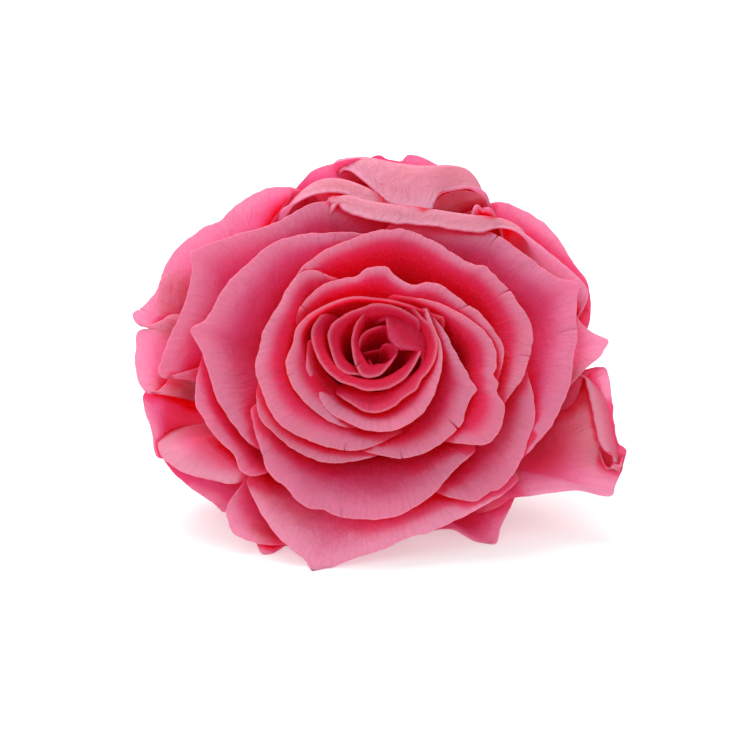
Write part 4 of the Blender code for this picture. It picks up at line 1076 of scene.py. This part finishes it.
class ROSE_OT_cup_petals(PetalOperator, bpy.types.Operator):
    """Build the petals of the cup round the heart"""

    bl_idname = "rose.cup_petals"
    bl_label = "Cup petals"
    layers = ("cup",)


class ROSE_OT_outer_petals(PetalOperator, bpy.types.Operator):
    """Build the wide, rolled and folded outer petals"""

    bl_idname = "rose.outer_petals"
    bl_label = "Outer petals"
    layers = ("wide", "outer", "curled", "curl", "rolled", "folded")


# A turned piece is cut off at the ground, where points this near to it in mm count as on it. Its edges are
# sharp where they turn by more than this angle.
GROUND_MERGE = 0.0001
SHARP_ANGLE = math.radians(40)


def turned_piece(name, profile, sides, finish):
    """A solid turned round the bloom's axis from (radius, height) points down its side."""
    bm = bmesh.new()
    line = [bm.verts.new((radius, 0, height)) for radius, height in profile]
    edges = [bm.edges.new(pair) for pair in zip(line, line[1:])]
    bmesh.ops.spin(bm, geom=line + edges, axis=(0, 0, 1), cent=(0, 0, 0), angle=math.tau, steps=sides,
                   use_merge=True)
    bmesh.ops.holes_fill(bm, edges=[e for e in bm.edges if e.is_boundary])
    bmesh.ops.recalc_face_normals(bm, faces=bm.faces)
    bmesh.ops.transform(bm, matrix=EYE, verts=bm.verts)
    flat = bmesh.ops.bisect_plane(bm, geom=list(bm.verts) + list(bm.edges) + list(bm.faces),
                                  dist=GROUND_MERGE, plane_co=(0, 0, 0), plane_no=(0, 0, 1),
                                  clear_inner=True)
    cut = [e for e in flat["geom_cut"] if isinstance(e, bmesh.types.BMEdge)]
    if cut:
        bmesh.ops.holes_fill(bm, edges=cut)
    piece = add_piece(name, bm, finish)
    piece.data.set_sharp_from_angle(angle=SHARP_ANGLE)
    return piece


class ROSE_OT_receptacle(bpy.types.Operator):
    """Build the receptacle that the petals grow from"""

    bl_idname = "rose.receptacle"
    bl_label = "Receptacle"
    bl_options = {"REGISTER", "UNDO"}

    def execute(self, context):
        piece = turned_piece("receptacle", RECEPTACLE, context.scene.rose_calyx.sides, "outer")
        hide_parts("bloom")
        return {"FINISHED"}


def sepal(index):
    """One sepal: hollow along its middle, curled at its sides, drawn out to a thin point."""
    columns, rows = SEPAL_FACES
    ragged, ragged_rate, ragged_step = SEPAL_RAGGED
    wave, wave_rate, wave_step = SEPAL_WAVE
    angle = FIRST_SEPAL + math.tau * index / SEPALS
    side = Vector((-math.sin(angle), math.cos(angle), 0))
    bm = bmesh.new()
    bmesh.ops.create_grid(bm, x_segments=columns, y_segments=rows, size=0.5,
                          matrix=Matrix.Translation((0.5, 0.5, 0)))
    for vert in bm.verts:
        across, t = vert.co.x * 2 - 1, vert.co.y
        reach = SEPAL_ROOT[0] + SEPAL_LENGTH * t
        half = (SEPAL_WIDTH * (1 - t ** SEPAL_TAPER) + SEPAL_END) / 2
        torn = noise.noise(Vector((reach * ragged_rate, index * ragged_step, across)))
        half *= 1 + ragged * torn * abs(across)
        hollow = SEPAL_HOLLOW * across * across * (1 - (1 - SEPAL_END_HOLLOW) * t)
        height = SEPAL_ROOT[1] + SEPAL_RISE * t * t + hollow
        height += wave * noise.noise(Vector((reach * wave_rate, across, index * wave_step)))
        vert.co = EYE @ (outward(angle) * reach + side * half * across + Vector((0, 0, height)))
        vert.co.z = resting(vert.co.z, SEPAL_THICKNESS)
    bmesh.ops.recalc_face_normals(bm, faces=bm.faces)
    piece = add_piece(f"sepal_{index + 1}", bm, "sepal")
    add_thickness(piece, SEPAL_THICKNESS * MM)
    return piece


class ROSE_OT_calyx(bpy.types.Operator):
    """Build the hip, its sepals and the cut stub of stem"""

    bl_idname = "rose.calyx"
    bl_label = "Calyx"
    bl_options = {"REGISTER", "UNDO"}

    def execute(self, context):
        pieces = [turned_piece("hip", HIP, context.scene.rose_calyx.sides, "sepal")]
        pieces += [sepal(index) for index in range(SEPALS)]
        for piece in pieces:
            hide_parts("calyx")
        return {"FINISHED"}


# The stage, in metres: how far the floor reaches to each side, the point that the lamps face, and each
# lamp's place and size
FLOOR_REACH = 6.0
LIT_MIDDLE = (0, 0, 0.02)
KEY_PLACE = (-0.1, 0.32, 0.52)
KEY_SIZE = 0.5
FILL_PLACE = (-0.25, -0.6, 0.45)
FILL_SIZE = 0.6

# Light passes several petals before it leaves the bloom.
LIGHT_BOUNCES = 10


def area_light(name, power, size, place):
    """A square lamp that faces the middle of the bloom."""
    lamp = bpy.data.objects.new(name, bpy.data.lights.new(name, "AREA"))
    lamp.data.energy = power
    lamp.data.size = size
    lamp.location = place
    lamp.rotation_euler = (Vector(LIT_MIDDLE) - Vector(place)).to_track_quat("-Z", "Y").to_euler()
    bpy.context.scene.collection.objects.link(lamp)


class ROSE_OT_stage(bpy.types.Operator):
    """Build the pale floor, the soft studio light and the camera"""

    bl_idname = "rose.stage"
    bl_label = "Stage"
    bl_options = {"REGISTER", "UNDO"}

    def execute(self, context):
        scene = context.scene
        settings = scene.rose_stage
        bm = bmesh.new()
        bmesh.ops.create_grid(bm, x_segments=1, y_segments=1, size=FLOOR_REACH)
        mesh = bpy.data.meshes.new("floor")
        bm.to_mesh(mesh)
        bm.free()
        floor = bpy.data.objects.new("floor", mesh)
        scene.collection.objects.link(floor)
        # Matte white paper, with a little light of its own so that it stays white
        material, tree = new_material("matte_paper")
        paper = add_node(tree, "BsdfPrincipled", Base_Color=(*settings.floor_colour, 1), Roughness=0.9,
                         Specular_IOR_Level=0.1, Emission_Color=(1, 1, 1, 1),
                         Emission_Strength=settings.floor_light)
        add_node(tree, "OutputMaterial", Surface=paper)
        mesh.materials.append(material)

        world = bpy.data.worlds.new("white_surround")
        world.use_nodes = True
        background = world.node_tree.nodes["Background"]
        background.inputs["Color"].default_value = (1, 1, 1, 1)
        background.inputs["Strength"].default_value = settings.surround
        scene.world = world
        scene.view_settings.view_transform = "Standard"
        scene.cycles.diffuse_bounces = LIGHT_BOUNCES
        area_light("key", settings.key_power, KEY_SIZE, KEY_PLACE)
        area_light("fill", settings.fill_power, FILL_SIZE, FILL_PLACE)

        place = (EYE @ (SIGHT * VIEW_DISTANCE)) * MM
        across, up = PICTURE_MIDDLE
        aim = (EYE @ (Vector((across, 0, 0)) + PICTURE_UP * up)) * MM
        camera = bpy.data.objects.new("camera", bpy.data.cameras.new("camera"))
        camera.data.lens = LENS
        camera.data.clip_start = 0.01
        camera.location = place
        camera.rotation_euler = (aim - place).to_track_quat("-Z", "Y").to_euler()
        scene.collection.objects.link(camera)
        scene.camera = camera
        return {"FINISHED"}


class ROSE_PT_panel(bpy.types.Panel):
    """Lists the steps and settings of the rose"""

    bl_idname = "ROSE_PT_panel"
    bl_label = "Preserved Rose"
    bl_space_type = "VIEW_3D"
    bl_region_type = "UI"
    bl_category = "Rose"

    def draw(self, context):
        layout = self.layout
        for step in STEPS:
            layout.operator(step.bl_idname)
        for name, group in SETTINGS.items():
            box = layout.box()
            for setting in group.__annotations__:
                box.prop(getattr(context.scene, name), setting)


STEPS = (ROSE_OT_receptacle, ROSE_OT_heart_petals, ROSE_OT_cup_petals, ROSE_OT_outer_petals,
         ROSE_OT_calyx, ROSE_OT_stage)
SETTINGS = {"rose_petals": RosePetalSettings, "rose_calyx": RoseCalyxSettings,
            "rose_stage": RoseStageSettings}
CLASSES = (*SETTINGS.values(), *STEPS, ROSE_PT_panel)


def register():
    for cls in CLASSES:
        bpy.utils.register_class(cls)
    for name, group in SETTINGS.items():
        setattr(bpy.types.Scene, name, PointerProperty(type=group))


def unregister():
    for name in SETTINGS:
        delattr(bpy.types.Scene, name)
    for cls in reversed(CLASSES):
        bpy.utils.unregister_class(cls)


def main():
    register()
    bpy.ops.rose.receptacle()
    bpy.ops.rose.heart_petals()
    bpy.ops.rose.cup_petals()
    bpy.ops.rose.outer_petals()
    bpy.ops.rose.calyx()
    bpy.ops.rose.stage()


if __name__ == "__main__":
    main()
